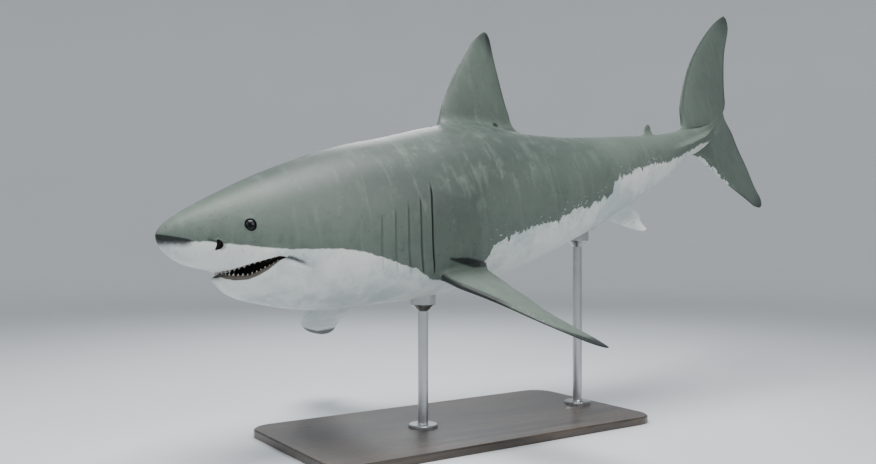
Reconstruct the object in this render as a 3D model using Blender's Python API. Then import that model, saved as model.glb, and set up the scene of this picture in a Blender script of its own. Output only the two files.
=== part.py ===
# Great white shark, a sub-adult of 3.5 m, swimming: a life-size still model on a display stand.
# Metres, +Z up. The head points to -Y and the left flank to +X. The origin is the centre of the
# underside of the stand's base plate.
import math

import bmesh
import bpy
import numpy as np

for old in list(bpy.data.objects):
    bpy.data.objects.remove(old, do_unlink=True)

# ---------------------------------------------------------------- driving dimensions
total_length = 3.5        # snout to the tip of the upper tail lobe, along the body
joint_gap = 0.0003        # space left between pieces that touch
spine_height = 0.93       # the spine above the floor, at 36 % of the length
spine_shift = (0.0, -0.014)   # the same point beside the centre of the base plate, x and y

head_yaw, tail_yaw, tail_end_yaw = -5.5, -7.4, 3.5   # turns of the spine in degrees
head_dip, tail_rise = 7.2, 9.2
nose_down, bank = 10.0, 3.5

neck_at, gills_end, trunk_mid, stalk_at, stalk_end = 0.155, 0.262, 0.50, 0.70, 0.905
body_sides = 32

base_size = (0.78, 1.56, 0.032)
base_corner = 0.09
rod_radius, rod_foot_radius, rod_cup_radius = 0.021, 0.06, 0.052
rod_places = (0.295, 0.545)

eye_place, eye_angle, eye_radius, eye_sunk = 0.073, 10.3, 0.0215, 0.0125
nostril_place, nostril_angle = 0.046, -17.0
gill_places = (0.201, 0.217, 0.2325, 0.2475)
gill_span = ((-31, 4), (-34, 6), (-37, 7), (-40, 9))

# Loft stations of the body, in hundredths of the length: place along it, top, underside,
# half width, height of the widest line.
stations = np.array([
    [0.0, 0.0, 0.0, 0.0, 0.0],
    [1.0, 1.3, -1.9, 1.35, -0.15],
    [3.0, 2.55, -3.15, 2.55, -0.35],
    [6.0, 4.05, -4.25, 3.95, -0.5],
    [10.0, 5.7, -7.05, 5.45, -0.9],
    [15.0, 7.3, -8.5, 6.75, -1.2],
    [21.0, 8.65, -9.15, 7.9, -1.2],
    [28.0, 9.35, -9.55, 8.7, -1.0],
    [36.0, 9.8, -9.45, 8.8, -0.6],
    [44.0, 8.3, -8.55, 8.2, -0.3],
    [52.0, 6.55, -7.25, 6.9, 0.0],
    [60.0, 5.35, -5.75, 5.35, 0.1],
    [68.0, 4.1, -4.35, 3.85, 0.15],
    [75.0, 2.9, -2.95, 2.7, 0.2],
    [81.0, 2.15, -1.9, 1.9, 0.2],
    [88.0, 1.35, -1.0, 1.0, 0.35],
    [91.0, 0.7, -0.2, 0.3, 0.35],
])
# Underside of the lower jaw, then the lip lines: place and height.
jaw_line = np.array([[5.35, -4.0], [5.6, -4.95], [6.2, -5.85], [7.5, -6.75], [10.0, -7.55],
                     [15.0, -8.7], [21.0, -9.15], [28.0, -9.55]])
upper_lip = np.array([[5.2, -3.9], [6.1, -3.7], [7.3, -3.3], [8.8, -2.98], [9.8, -2.78], [10.5, -2.95]])
lower_lip = np.array([[5.2, -4.45], [6.1, -4.85], [7.1, -4.95], [7.9, -4.66], [8.75, -4.2],
                      [9.5, -3.6], [10.5, -3.0]])
jaw_seam = np.array([[10.5, -2.97], [11.6, -3.4], [12.6, -4.1], [13.3, -5.4], [13.7, -7.2], [13.9, -11.0]])

# Ribs of each fin in hundredths of the length: fraction out, front edge (along, out), rear edge
# (along, out), thickness. "at" is (side, height) of the fin's plane, "out" its direction.
fin_ribs = {
    "dorsal_fin": dict(at=(0, 0), out=(0, 1), twist=0, ribs=[
        (0, 33.6, 8.0, 48.6, 6.4, 1.5), (.1, 34.9, 10.0, 47.4, 8.5, 1.3), (.25, 36.4, 12.0, 46.6, 10.6, 1.05),
        (.5, 39.0, 15.5, 46.1, 14.7, .75), (.75, 41.8, 18.55, 45.85, 18.1, .5),
        (.92, 43.8, 20.3, 45.7, 20.0, .3), (1, 45.1, 20.8, 45.45, 20.6, .15)]),
    "caudal_upper_lobe": dict(at=(0, 0), out=(0, 1), twist=0, ribs=[
        (0, 80.0, .225, 93.4, 1.925, 1.7), (.15, 81.3, 3.5, 93.9, 2.6, 1.3), (.32, 83.2, 6.7, 94.7, 5.1, .95),
        (.5, 86.2, 10.0, 95.9, 8.0, .7), (.68, 90.0, 12.7, 97.4, 10.8, .5), (.82, 93.9, 14.7, 98.9, 12.7, .36),
        (.93, 97.5, 16.0, 100.1, 14.5, .25), (1, 99.7, 16.4, 100.2, 15.8, .15)]),
    "caudal_lower_lobe": dict(at=(0, 0), out=(0, 1), twist=0, ribs=[
        (0, 80.0, .2, 93.4, 1.9, 1.7), (.18, 83.2, -2.6, 93.8, -1.3, 1.25), (.42, 86.6, -6.0, 94.5, -4.9, .8),
        (.66, 90.1, -9.7, 95.5, -8.5, .5), (.86, 93.6, -13.1, 96.4, -12.2, .32),
        (.96, 95.2, -14.5, 96.9, -14.0, .2), (1, 96.1, -14.9, 96.7, -14.7, .12)]),
    "second_dorsal_fin": dict(at=(0, 0), out=(0, 1), twist=0, ribs=[
        (0, 71.0, 3.0, 74.6, 2.4, .35), (.4, 71.9, 4.05, 74.1, 3.4, .28), (.8, 72.7, 4.65, 73.9, 4.3, .18),
        (1, 73.2, 4.85, 73.7, 4.75, .1)]),
    "anal_fin": dict(at=(0, 0), out=(0, -1), twist=0, ribs=[
        (0, 73.6, 2.2, 76.2, 1.9, .35), (.4, 74.4, 2.95, 76.0, 2.7, .28), (.8, 75.1, 3.4, 75.9, 3.2, .18),
        (1, 75.5, 3.55, 75.8, 3.5, .1)]),
    "pectoral_fin_left": dict(at=(5.7, -6.9), out=(.918, -.396), twist=17, bow=.7, ribs=[
        (0, 27.3, -1.2, 33.9, -1.0, 1.4), (.08, 27.4, .9, 34.5, 1.0, 1.2), (.2, 28.1, 4.0, 34.3, 4.0, 1.0),
        (.4, 29.0, 8.6, 34.7, 7.9, .8), (.62, 30.1, 13.4, 34.7, 12.3, .55), (.82, 31.8, 17.6, 34.7, 16.5, .36),
        (.95, 33.2, 19.8, 34.6, 19.1, .22), (1, 34.0, 20.4, 34.4, 20.1, .13)]),
    "pectoral_fin_right": dict(at=(-5.7, -6.9), out=(-.95, -.312), twist=10, bow=1.4, ribs=[
        (0, 27.7, -1.2, 33.9, -1.0, 1.4), (.08, 27.0, .9, 34.2, 1.0, 1.2), (.2, 25.8, 4.0, 32.9, 4.0, 1.0),
        (.4, 23.5, 8.8, 30.3, 8.0, .8), (.62, 23.1, 13.4, 28.7, 12.4, .55), (.82, 25.0, 17.6, 28.8, 16.6, .36),
        (.95, 27.2, 19.8, 29.1, 19.3, .22), (1, 28.4, 20.3, 28.8, 20.1, .13)]),
}
pelvic_ribs = [(0, 55.8, -.8, 63.0, -.8, .6), (.25, 57.2, .6, 64.2, .5, .5), (.6, 59.6, 2.2, 63.8, 2.0, .35),
               (.88, 61.5, 3.35, 63.5, 3.25, .2), (1, 62.6, 3.8, 63.3, 3.75, .12)]
fin_ribs["pelvic_fin_left"] = dict(at=(2.4, -5.2), out=(.45, -.893), twist=0, ribs=pelvic_ribs)
fin_ribs["pelvic_fin_right"] = dict(at=(-2.4, -5.2), out=(-.74, -.673), twist=0, ribs=pelvic_ribs)

# colour, roughness, metallic
finishes = {
    "skin": ((0.16, 0.20, 0.20), 0.5, 0.0),
    "fin": ((0.13, 0.17, 0.17), 0.5, 0.0),
    "belly": ((0.62, 0.64, 0.63), 0.5, 0.0),
    "eye": ((0.01, 0.01, 0.012), 0.08, 0.0),
    "plate": ((0.05, 0.052, 0.055), 0.45, 0.0),
    "rod": ((0.55, 0.56, 0.57), 0.3, 1.0),
}


# ---------------------------------------------------------------- curves of the body
def spline(x, xs, ys):
    """Natural cubic spline through (xs, ys), read at x."""
    xs, ys, x = np.asarray(xs, float), np.asarray(ys, float), np.asarray(x, float)
    n, h = len(xs), np.diff(xs)
    a, r = np.eye(n), np.zeros(n)
    i = np.arange(1, n - 1)
    a[i, i - 1], a[i, i], a[i, i + 1] = h[:-1], 2 * (h[:-1] + h[1:]), h[1:]
    r[1:-1] = 6 * (np.diff(ys)[1:] / h[1:] - np.diff(ys)[:-1] / h[:-1])
    m = np.linalg.solve(a, r)
    k = np.clip(np.searchsorted(xs, x) - 1, 0, n - 2)
    u, v, w = xs[k + 1] - x, x - xs[k], h[k]
    cubic = (m[k] * u ** 3 + m[k + 1] * v ** 3) / (6 * w)
    return cubic + (ys[k] / w - m[k] * w / 6) * u + (ys[k + 1] / w - m[k + 1] * w / 6) * v


def smooth(x, a, b):
    t = np.clip((x - a) / (b - a), 0, 1)
    return t * t * (3 - 2 * t)


def spine():
    """Places along the spine, its points and its left and up directions."""
    t = np.linspace(-.01, 1.05, 1061)
    yaw = np.radians(head_yaw * (1 - smooth(t, .05, .4)) + tail_yaw * smooth(t, .4, .85)
                     + tail_end_yaw * smooth(t, .7, .95))
    dip = np.radians(tail_rise * smooth(t, .4, .9) - head_dip * (1 - smooth(t, .05, .4)))
    back = np.stack([np.sin(yaw) * np.cos(dip), np.cos(yaw) * np.cos(dip), np.sin(dip)], 1)
    line = np.concatenate([np.zeros((1, 3)), np.cumsum((back[1:] + back[:-1]) / 2 * (t[1] - t[0]), 0)])
    line -= line[np.searchsorted(t, .36)]
    left = np.stack([np.cos(yaw), -np.sin(yaw), 0 * yaw], 1)
    return t, line, left, np.cross(left, back)


spine_table = spine()


def bent(p):
    """From straight-body coordinates (along, left, up; fractions of the length) to metres."""
    t, line, left, up = spine_table
    s = p[..., 0] - .0045 * (1 - smooth(p[..., 0], 0, .08))

    def read(table):
        return np.stack([np.interp(s, t, table[:, k]) for k in range(3)], -1)

    q = read(line) + p[..., 1:2] * read(left) + p[..., 2:3] * read(up)
    b, n = math.radians(bank), math.radians(nose_down)
    x, y, z = q[..., 0], q[..., 1], q[..., 2]
    x, z = x * math.cos(b) - z * math.sin(b), x * math.sin(b) + z * math.cos(b)
    y, z = y * math.cos(n) - z * math.sin(n), y * math.sin(n) + z * math.cos(n)
    shift = np.array([spine_shift[0], spine_shift[1], spine_height])
    return np.stack([x, y, z], -1) * total_length + shift


def section(s, phi, jaw=True):
    """Outline of the body at place s, angle phi from the left side, up positive."""
    q, qs = np.sqrt(np.maximum(s, 0) * 100), np.sqrt(stations[:, 0])
    top, bottom, half, mid = [spline(q, qs, stations[:, k]) / 100 for k in range(1, 5)]
    if jaw:
        start = jaw_line[0, 0]
        root = np.sqrt(np.clip(s * 100, start, 28) - start)
        low = spline(root, np.sqrt(jaw_line[:, 0] - start), jaw_line[:, 1]) / 100
        bottom = np.where((s > .052) & (s < .28), low, bottom)
    c, si = np.cos(phi), np.sin(phi)
    lat = half * np.sign(c) * np.abs(c) ** .94
    z = np.where(si > 0, mid + (top - mid) * np.abs(si) ** .96, mid - (mid - bottom) * np.abs(si) ** .94)
    side = np.degrees(np.arctan2(si, np.abs(c)))
    keel = .009 * smooth(s, .73, .81) * (1 - smooth(s, .85, .905)) * np.exp(-(side / 13.0) ** 2)
    return np.stack([s + 0 * phi, lat + np.sign(c) * keel, z], -1)


# ---------------------------------------------------------------- mesh helpers
def material(name):
    if name in bpy.data.materials:
        return bpy.data.materials[name]
    colour, rough, metal = finishes[name]
    m = bpy.data.materials.new(name)
    m.use_nodes = True
    shader = m.node_tree.nodes["Principled BSDF"]
    shader.inputs["Base Color"].default_value = (*colour, 1)
    shader.inputs["Roughness"].default_value = rough
    shader.inputs["Metallic"].default_value = metal
    return m


def add_object(name, bm, finish=None):
    bmesh.ops.recalc_face_normals(bm, faces=bm.faces)
    mesh = bpy.data.meshes.new(name)
    bm.to_mesh(mesh)
    bm.free()
    ob = bpy.data.objects.new(name, mesh)
    bpy.context.scene.collection.objects.link(ob)
    if finish:
        mesh.materials.append(material(finish))
        mesh.shade_smooth()
        mesh.set_sharp_from_angle(angle=math.radians(40))
    else:
        ob.hide_render = True
        ob.display_type = "WIRE"
    return ob


def loft(rings, first_point=None):
    """Closed solid through rings of points; the first ring may shrink to a point."""
    bm = bmesh.new()
    rows = [[bm.verts.new(p) for p in ring] for ring in rings]
    n = len(rings[0])
    for a, b in zip(rows, rows[1:]):
        for i in range(n):
            bm.faces.new((a[i], a[(i + 1) % n], b[(i + 1) % n], b[i]))
    if first_point is None:
        bm.faces.new(rows[0])
    else:
        tip = bm.verts.new(first_point)
        for i in range(n):
            bm.faces.new((tip, rows[0][(i + 1) % n], rows[0][i]))
    bm.faces.new(rows[-1][::-1])
    return bm


def cut(ob, cutter, operation="DIFFERENCE"):
    mod = ob.modifiers.new(operation.lower(), "BOOLEAN")
    mod.operation = operation
    mod.solver = "EXACT"
    mod.object = cutter


def settle(ob):
    """Replace the object's mesh with its evaluated one and drop the modifiers."""
    graph = bpy.context.evaluated_depsgraph_get()
    graph.update()
    mesh = bpy.data.meshes.new_from_object(ob.evaluated_get(graph))
    ob.modifiers.clear()
    ob.data = mesh
    return ob


around = np.radians(np.arange(body_sides) * 360 / body_sides)


def body_rings(places, grow=0.0):
    rings = []
    for s in places:
        ring = section(np.full(body_sides, s), around)
        if grow:
            middle = np.array([s, 0, ring[:, 2].mean()])
            away = ring - middle
            ring = ring + away / np.linalg.norm(away, axis=1)[:, None] * grow / total_length
        rings.append(bent(ring))
    return rings


def body_places(a, b):
    head = [.0012, .005, .011, .02, .03, .041, .0515, .0535, .0565, .061, .068, .078, .09, .104, .12, .138]
    rest = list(np.arange(.155, .90, .0245))
    gap = joint_gap / total_length / 2
    inner = [s for s in head + rest if a + .004 < s < b - .004]
    return ([a + gap] if a > 0 else []) + inner + [b - gap]


# ---------------------------------------------------------------- body
nose = bent(np.array([0.0, 0.0, 0.0]))
neck_solid = add_object("head", loft(body_rings(body_places(0, neck_at)), nose), "skin")
gills = add_object("gill_region", loft(body_rings(body_places(neck_at, gills_end))), "skin")
trunk_front = add_object("trunk_front", loft(body_rings(body_places(gills_end, trunk_mid))), "skin")
trunk_rear = add_object("trunk_rear", loft(body_rings(body_places(trunk_mid, stalk_at))), "skin")
tail_stalk = add_object("tail_stalk", loft(body_rings(body_places(stalk_at, stalk_end))), "skin")

# The whole body, grown by the gap: it trims the fins' roots and the tops of the rods.
body_cutter = add_object("body_cutter", loft(body_rings(body_places(0, stalk_end + .0004), joint_gap * 1.4), nose))


def prism(outline, half_width):
    """Side outline (along, up; hundredths) drawn out across the body."""
    flat = np.array(outline) / 100
    rings = [bent(np.stack([flat[:, 0], np.full(len(flat), w), flat[:, 1]], 1))
             for w in np.linspace(-half_width, half_width, 5)]
    return loft(rings)


# Open mouth, and a thin seam behind it that parts the lower jaw from the head.
lip_places = np.linspace(5.2, 10.5, 10)
roof = [(4.2, -4.0)] + [(s, float(spline(s, upper_lip[:, 0], upper_lip[:, 1]))) for s in lip_places]
floor = [(s, float(spline(s, lower_lip[:, 0], lower_lip[:, 1]))) for s in lip_places[::-1]] + [(4.2, -4.5)]
seam_step = np.gradient(jaw_seam, axis=0)
seam_side = np.stack([-seam_step[:, 1], seam_step[:, 0]], 1)
seam_side *= 50 * joint_gap / total_length / np.linalg.norm(seam_side, axis=1)[:, None]
seam_back = [tuple(p) for p in (jaw_seam + seam_side)[1:]]
seam_front = [tuple(p) for p in (jaw_seam - seam_side)[1:][::-1]]
mouth_cutter = add_object("mouth_cutter", prism(roof + seam_back + seam_front + floor, .085))
cut(neck_solid, mouth_cutter)


def frame_at(s, phi_deg, side):
    """Point of the flank, its outward direction and the two directions in the surface."""
    def at(s, f):
        a = math.radians(f) if side > 0 else math.pi - math.radians(f)
        return bent(section(np.array([s]), np.array([a])))[0]
    p = at(s, phi_deg)
    back = at(s + .004, phi_deg) - at(s - .004, phi_deg)
    up = at(s, phi_deg + 3) - at(s, phi_deg - 3)
    back /= np.linalg.norm(back)
    out = np.cross(up, back) * side
    out /= np.linalg.norm(out)
    if np.dot(out, p - bent(np.array([s, 0, 0]))) < 0:
        out = -out
    return p, out, back, np.cross(out, back)


def ball(radius, centre, axes=None, squash=(1, 1, 1), rings=9, sides=16):
    bm = bmesh.new()
    bmesh.ops.create_uvsphere(bm, u_segments=sides, v_segments=rings, radius=radius)
    axes = np.eye(3) if axes is None else np.array(axes)
    for v in bm.verts:
        v.co = centre + (np.array(v.co) * squash) @ axes
    return bm


for side, word in ((1, "left"), (-1, "right")):
    p, out, back, up = frame_at(eye_place, eye_angle, side)
    centre = p - out * eye_sunk
    add_object("eye_" + word, ball(eye_radius, centre, rings=8, sides=14), "eye")
    socket = add_object("socket_" + word, ball(eye_radius + joint_gap * 2.2, centre, rings=8, sides=14))
    cut(neck_solid, socket)
    p, out, back, up = frame_at(nostril_place, nostril_angle, side)
    nostril = add_object("nostril_cutter_" + word,
                         ball(1.0, p, (back, up, out), (.0062, .0135, .012), rings=6, sides=10))
    cut(neck_solid, nostril)

for place, (low, high) in zip(gill_places, gill_span):
    for side in (1, -1):
        rings = []
        for f in np.linspace(low, high, 7):
            p, out, back, up = frame_at(place, f, side)
            fade = 1 - ((f - (low + high) / 2) / ((high - low) / 2)) ** 4
            deep = .004 + .011 * fade
            rings.append([p + out * .004 - back * .004, p + out * .004 + back * .009,
                          p - out * deep + back * .013])
        cut(gills, add_object("gill_cutter_%d_%d" % (round(place * 1e4), side), loft(rings)))

# ---------------------------------------------------------------- the parted jaw
settle(neck_solid)


def split_pieces(ob):
    """Vertex numbers of each loose piece, largest piece first."""
    bm = bmesh.new()
    bm.from_mesh(ob.data)
    bm.verts.ensure_lookup_table()
    left_over, pieces = set(range(len(bm.verts))), []
    while left_over:
        piece, edge = set(), [min(left_over)]
        while edge:
            k = edge.pop()
            if k not in piece:
                piece.add(k)
                edge += [e.other_vert(bm.verts[k]).index for e in bm.verts[k].link_edges]
        left_over -= piece
        pieces.append(piece)
    bm.free()
    return sorted(pieces, key=len, reverse=True)


def keep_piece(ob, piece):
    bm = bmesh.new()
    bm.from_mesh(ob.data)
    bm.verts.ensure_lookup_table()
    bmesh.ops.delete(bm, geom=[v for v in bm.verts if v.index not in piece], context="VERTS")
    return bm


head_piece, jaw_piece = split_pieces(neck_solid)[:2]
lower_jaw = add_object("lower_jaw", keep_piece(neck_solid, jaw_piece), "belly")
bm = keep_piece(neck_solid, head_piece)
bm.to_mesh(neck_solid.data)
bm.free()


# ---------------------------------------------------------------- teeth
def lip_point(lip, s, inset, jaw):
    """Point of the lip line on the left side, moved in toward the middle."""
    z = float(spline(s, lip[:, 0], lip[:, 1])) / 100
    ring = section(np.full(181, s / 100), np.radians(np.linspace(-90, 0, 181)), jaw)
    lat = float(np.interp(z, ring[:, 2], ring[:, 1]))
    return np.array([s / 100 + inset * .6, max(lat - inset, .0), z])


def tooth_row(name, lip, toward, inset, width, count, gap_share):
    """Pyramids with their roots in the jaw, from the middle of the mouth to its corner."""
    dense = np.linspace(lip[0, 0] + (.12 if toward < 0 else .45), lip[-1, 0] - .75, 200)
    line = np.array([lip_point(lip, s, inset, toward > 0) for s in dense])
    arc = np.concatenate([[0], np.cumsum(np.linalg.norm(np.diff(line, axis=0), axis=1))])
    bm = bmesh.new()
    for k in range(count):
        at = arc[-1] * (k + .5) / count
        p = np.array([np.interp(at, arc, line[:, c]) for c in range(3)])
        p[1] = max(p[1], width * .62 / total_length)
        ahead = np.array([np.interp(at + .001, arc, line[:, c]) for c in range(3)])
        behind = np.array([np.interp(at - .001, arc, line[:, c]) for c in range(3)])
        along = (ahead - behind) / np.linalg.norm(ahead - behind)
        along[2] = 0
        across = np.array([-along[1], along[0], 0])
        opening = abs(spline(p[0] * 100, upper_lip[:, 0], upper_lip[:, 1])
                      - spline(p[0] * 100, lower_lip[:, 0], lower_lip[:, 1])) / 100
        tall = toward * (.0018 + gap_share * float(opening))
        w, d = width * (1 - .45 * k / count) / total_length / 2, .0035 / total_length
        for side in (1, -1):
            root = p + np.array([0, 0, -toward * .0025])
            base = [root + along * a * w + across * b * d for a, b in ((1, 0), (0, 1), (-1, 0), (0, -1))]
            tip = p + np.array([.0006, -.0006, tall])
            points = bent(np.array(base + [tip]) * [1, side, 1])
            v = [bm.verts.new(c) for c in points]
            bm.faces.new(v[:4])
            for a in range(4):
                bm.faces.new((v[a], v[(a + 1) % 4], v[4]))
    return add_object(name, bm)


cut(neck_solid, tooth_row("upper_teeth", upper_lip, -1, .0045, .019, 11, .34), "UNION")
cut(lower_jaw, tooth_row("lower_teeth", lower_lip, 1, .0075, .0145, 11, .46), "UNION")

# ---------------------------------------------------------------- fins
chord_steps = (1 - np.cos(np.linspace(0, math.pi, 8))) / 2


def fin_ring(fin, t):
    ribs = np.array(fin["ribs"])
    x0, h0, x1, h1, thick = [float(spline(t, ribs[:, 0], ribs[:, k])) for k in range(1, 6)]
    out = np.array([0, *fin["out"]])
    out = out / np.linalg.norm(out)
    across = np.cross([1, 0, 0], out)
    if across[2] < 0 or (across[2] == 0 and across[1] < 0):
        across = -across
    turn = math.radians(fin["twist"]) * float(smooth(t, 0, .6))
    pivot = x0 + .35 * (x1 - x0)
    droop = fin.get("bow", 0) * t ** 3
    ring = []
    for u, side in [(u, 1) for u in chord_steps[::-1]] + [(u, -1) for u in chord_steps[1:]]:
        half = 5 * thick * (.2969 * math.sqrt(u) - .126 * u - .3516 * u ** 2 + .2843 * u ** 3 - .1015 * u ** 4)
        off = x0 + (x1 - x0) * u - pivot
        p = np.array([0, *fin["at"]]) + np.array([pivot + off * math.cos(turn), 0, 0])
        p = p + (h0 + (h1 - h0) * u) * out + (side * (half + .02 * (u > 0)) - off * math.sin(turn) - droop) * across
        ring.append(p / 100)
    return bent(np.array(ring))


for name, fin in fin_ribs.items():
    small = len(fin["ribs"]) < 6
    spans = (0, .35, .6, .85, 1) if small else (0, .08, .17, .27, .38, .5, .61, .72, .82, .9, .96, 1)
    ob = add_object(name, loft([fin_ring(fin, t) for t in spans]), "fin")
    cut(ob, body_cutter)

# ---------------------------------------------------------------- display stand
def turned(profile, x, y, sides=18):
    a = np.radians(np.arange(sides) * 360 / sides)
    return loft([np.stack([x + r * np.cos(a), y + r * np.sin(a), z + 0 * a], 1) for r, z in profile])


corner = []
for cx, cy, start in ((1, 1, 0), (-1, 1, 90), (-1, -1, 180), (1, -1, 270)):
    for a in np.radians(start + np.arange(0, 91, 15)):
        corner.append((cx * (base_size[0] / 2 - base_corner) + base_corner * math.cos(a),
                       cy * (base_size[1] / 2 - base_corner) + base_corner * math.sin(a)))
corner = np.array(corner)
plate = []
for z, inset in ((0, 0), (base_size[2] - .005, 0), (base_size[2], .005)):
    edge = corner * [1 - 2 * inset / base_size[0], 1 - 2 * inset / base_size[1]]
    plate.append(np.column_stack([edge, np.full(len(edge), z)]))
add_object("stand_base", loft(plate), "plate")

for place, word in zip(rod_places, ("front", "rear")):
    belly = bent(section(np.array([place]), np.array([-math.pi / 2])))[0]
    foot = base_size[2] + joint_gap
    profile = [(rod_foot_radius, foot), (rod_foot_radius, foot + .010), (rod_foot_radius - .004, foot + .014),
               (rod_radius + .002, foot + .014), (rod_radius, foot + .018), (rod_radius, belly[2] - .058),
               (rod_cup_radius - .006, belly[2] - .036), (rod_cup_radius, belly[2] - .030),
               (rod_cup_radius, belly[2] + .07)]
    rod = add_object("stand_rod_" + word, turned(profile, belly[0], belly[1]), "rod")
    cut(rod, body_cutter)
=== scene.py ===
import math

import bmesh
import bpy
import numpy as np
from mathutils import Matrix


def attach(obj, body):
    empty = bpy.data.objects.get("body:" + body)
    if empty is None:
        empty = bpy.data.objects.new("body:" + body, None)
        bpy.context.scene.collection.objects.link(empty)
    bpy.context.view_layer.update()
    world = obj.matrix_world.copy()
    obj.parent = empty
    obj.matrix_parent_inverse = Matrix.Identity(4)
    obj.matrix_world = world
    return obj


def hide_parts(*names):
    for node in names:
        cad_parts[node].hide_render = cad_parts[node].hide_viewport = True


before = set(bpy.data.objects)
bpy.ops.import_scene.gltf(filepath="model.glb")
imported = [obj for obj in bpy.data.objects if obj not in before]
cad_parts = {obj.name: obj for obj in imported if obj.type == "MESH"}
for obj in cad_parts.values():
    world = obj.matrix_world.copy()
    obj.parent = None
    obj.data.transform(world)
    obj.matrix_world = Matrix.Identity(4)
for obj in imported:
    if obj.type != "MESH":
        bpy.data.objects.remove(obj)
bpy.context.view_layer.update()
print("frame loaded:", len(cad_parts), "nodes")


# small tools shared by the pieces

def spline(x, xs, ys):
    # natural cubic through the points (xs, ys): second slopes from one tridiagonal system
    xs, ys, x = np.asarray(xs, float), np.asarray(ys, float), np.asarray(x, float)
    n, h = len(xs), np.diff(xs)
    a, r = np.eye(n), np.zeros(n)
    i = np.arange(1, n - 1)
    a[i, i - 1], a[i, i], a[i, i + 1] = h[:-1], 2 * (h[:-1] + h[1:]), h[1:]
    r[1:-1] = 6 * (np.diff(ys)[1:] / h[1:] - np.diff(ys)[:-1] / h[:-1])
    m = np.linalg.solve(a, r)
    k = np.clip(np.searchsorted(xs, x) - 1, 0, n - 2)
    u, v, w = xs[k + 1] - x, x - xs[k], h[k]
    cubic = (m[k] * u**3 + m[k + 1] * v**3) / (6 * w)
    return cubic + (ys[k] / w - m[k] * w / 6) * u + (ys[k + 1] / w - m[k + 1] * w / 6) * v


def smooth(x, a, b):
    t = np.clip((x - a) / (b - a), 0, 1)
    return t * t * (3 - 2 * t)


def unit(v):
    return v / np.maximum(np.linalg.norm(v, axis=-1, keepdims=True), 1e-12)


# the body's form, close to the solids' own: straight first, then bent as it swims

bodyForm = dict(
    length=3.5,  # snout to the upper tail tip, metres
    height=0.93, shift=(0.0, -0.014),  # the spine's middle above and beside the plate's centre
    headYaw=-5.5, tailYaw=-7.4, endYaw=3.5,  # turns of the spine, degrees
    headDip=7.2, tailRise=9.2, noseDown=10.0, bank=3.5,
    headSpan=(.05, .4), tailSpan=(.4, .85), endSpan=(.7, .95), riseSpan=(.4, .9),  # where each turn builds up
    still=.36, blunt=(.0045, .08),  # the place that stays put; how far the snout is drawn on
    roundTop=.96, roundUnder=.94, roundSide=.94,  # powers that square the sections off a little
    keel=dict(out=.0075, grows=(.73, .81), fades=(.85, .90), spread=11.0),  # spread is in degrees
    jawSpan=(.052, .28),  # where the jaw's own underside counts
    # place along, top, underside, half width, widest line's height, in hundredths of the length
    stations=[
        (0, 0, 0, 0, 0), (1, 1.3, -1.9, 1.35, -.15), (3, 2.55, -3.15, 2.55, -.35),
        (6, 4.05, -4.25, 3.95, -.5), (10, 5.7, -7.05, 5.45, -.9), (15, 7.3, -8.5, 6.75, -1.2),
        (21, 8.65, -9.15, 7.9, -1.2), (28, 9.35, -9.55, 8.7, -1), (36, 9.8, -9.45, 8.8, -.6),
        (44, 8.3, -8.55, 8.2, -.3), (52, 6.55, -7.25, 6.9, 0), (60, 5.35, -5.75, 5.35, .1),
        (68, 4.1, -4.35, 3.85, .15), (75, 2.9, -2.95, 2.7, .2), (81, 2.15, -1.9, 1.9, .2),
        (88, 1.5, -.85, .8, .45), (91, 1.7, .3, .37, 1.05), (93.4, 2.02, 1.72, .03, 1.88)],
    jaw=[(5.35, -4.0), (5.6, -4.95), (6.2, -5.85), (7.5, -6.75), (10, -7.55), (15, -8.7), (21, -9.15),
         (28, -9.55)],
)
total = bodyForm["length"]
stations, jawLine = np.array(bodyForm["stations"], float), np.array(bodyForm["jaw"], float)


def makeSpine():
    # yaw and dip ramp along the fish; their direction is summed up into a line, with left and up beside it
    f = bodyForm
    t = np.linspace(-.01, 1.05, 1061)
    head = 1 - smooth(t, *f["headSpan"])
    yaw = np.radians(f["headYaw"] * head + f["tailYaw"] * smooth(t, *f["tailSpan"])
                     + f["endYaw"] * smooth(t, *f["endSpan"]))
    dip = np.radians(f["tailRise"] * smooth(t, *f["riseSpan"]) - f["headDip"] * head)
    back = np.stack([np.sin(yaw) * np.cos(dip), np.cos(yaw) * np.cos(dip), np.sin(dip)], 1)
    line = np.concatenate([np.zeros((1, 3)), np.cumsum((back[1:] + back[:-1]) / 2 * (t[1] - t[0]), 0)])
    line -= line[np.searchsorted(t, f["still"])]
    left = np.stack([np.cos(yaw), -np.sin(yaw), 0 * yaw], 1)
    return t, line, left, np.cross(left, back)


spineTable = makeSpine()


def bent(p):
    # straight coordinates (along, left, up; shares of the length) carried onto the spine, banked and tipped
    t, line, left, up = spineTable
    push, fade = bodyForm["blunt"]
    s = p[..., 0] - push * (1 - smooth(p[..., 0], 0, fade))
    read = lambda table: np.stack([np.interp(s, t, table[:, k]) for k in range(3)], -1)
    q = read(line) + p[..., 1:2] * read(left) + p[..., 2:3] * read(up)
    b, n = math.radians(bodyForm["bank"]), math.radians(bodyForm["noseDown"])
    x, y, z = q[..., 0], q[..., 1], q[..., 2]
    x, z = x * math.cos(b) - z * math.sin(b), x * math.sin(b) + z * math.cos(b)
    y, z = y * math.cos(n) - z * math.sin(n), y * math.sin(n) + z * math.cos(n)
    return np.stack([x, y, z], -1) * total + np.array([*bodyForm["shift"], bodyForm["height"]])


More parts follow.
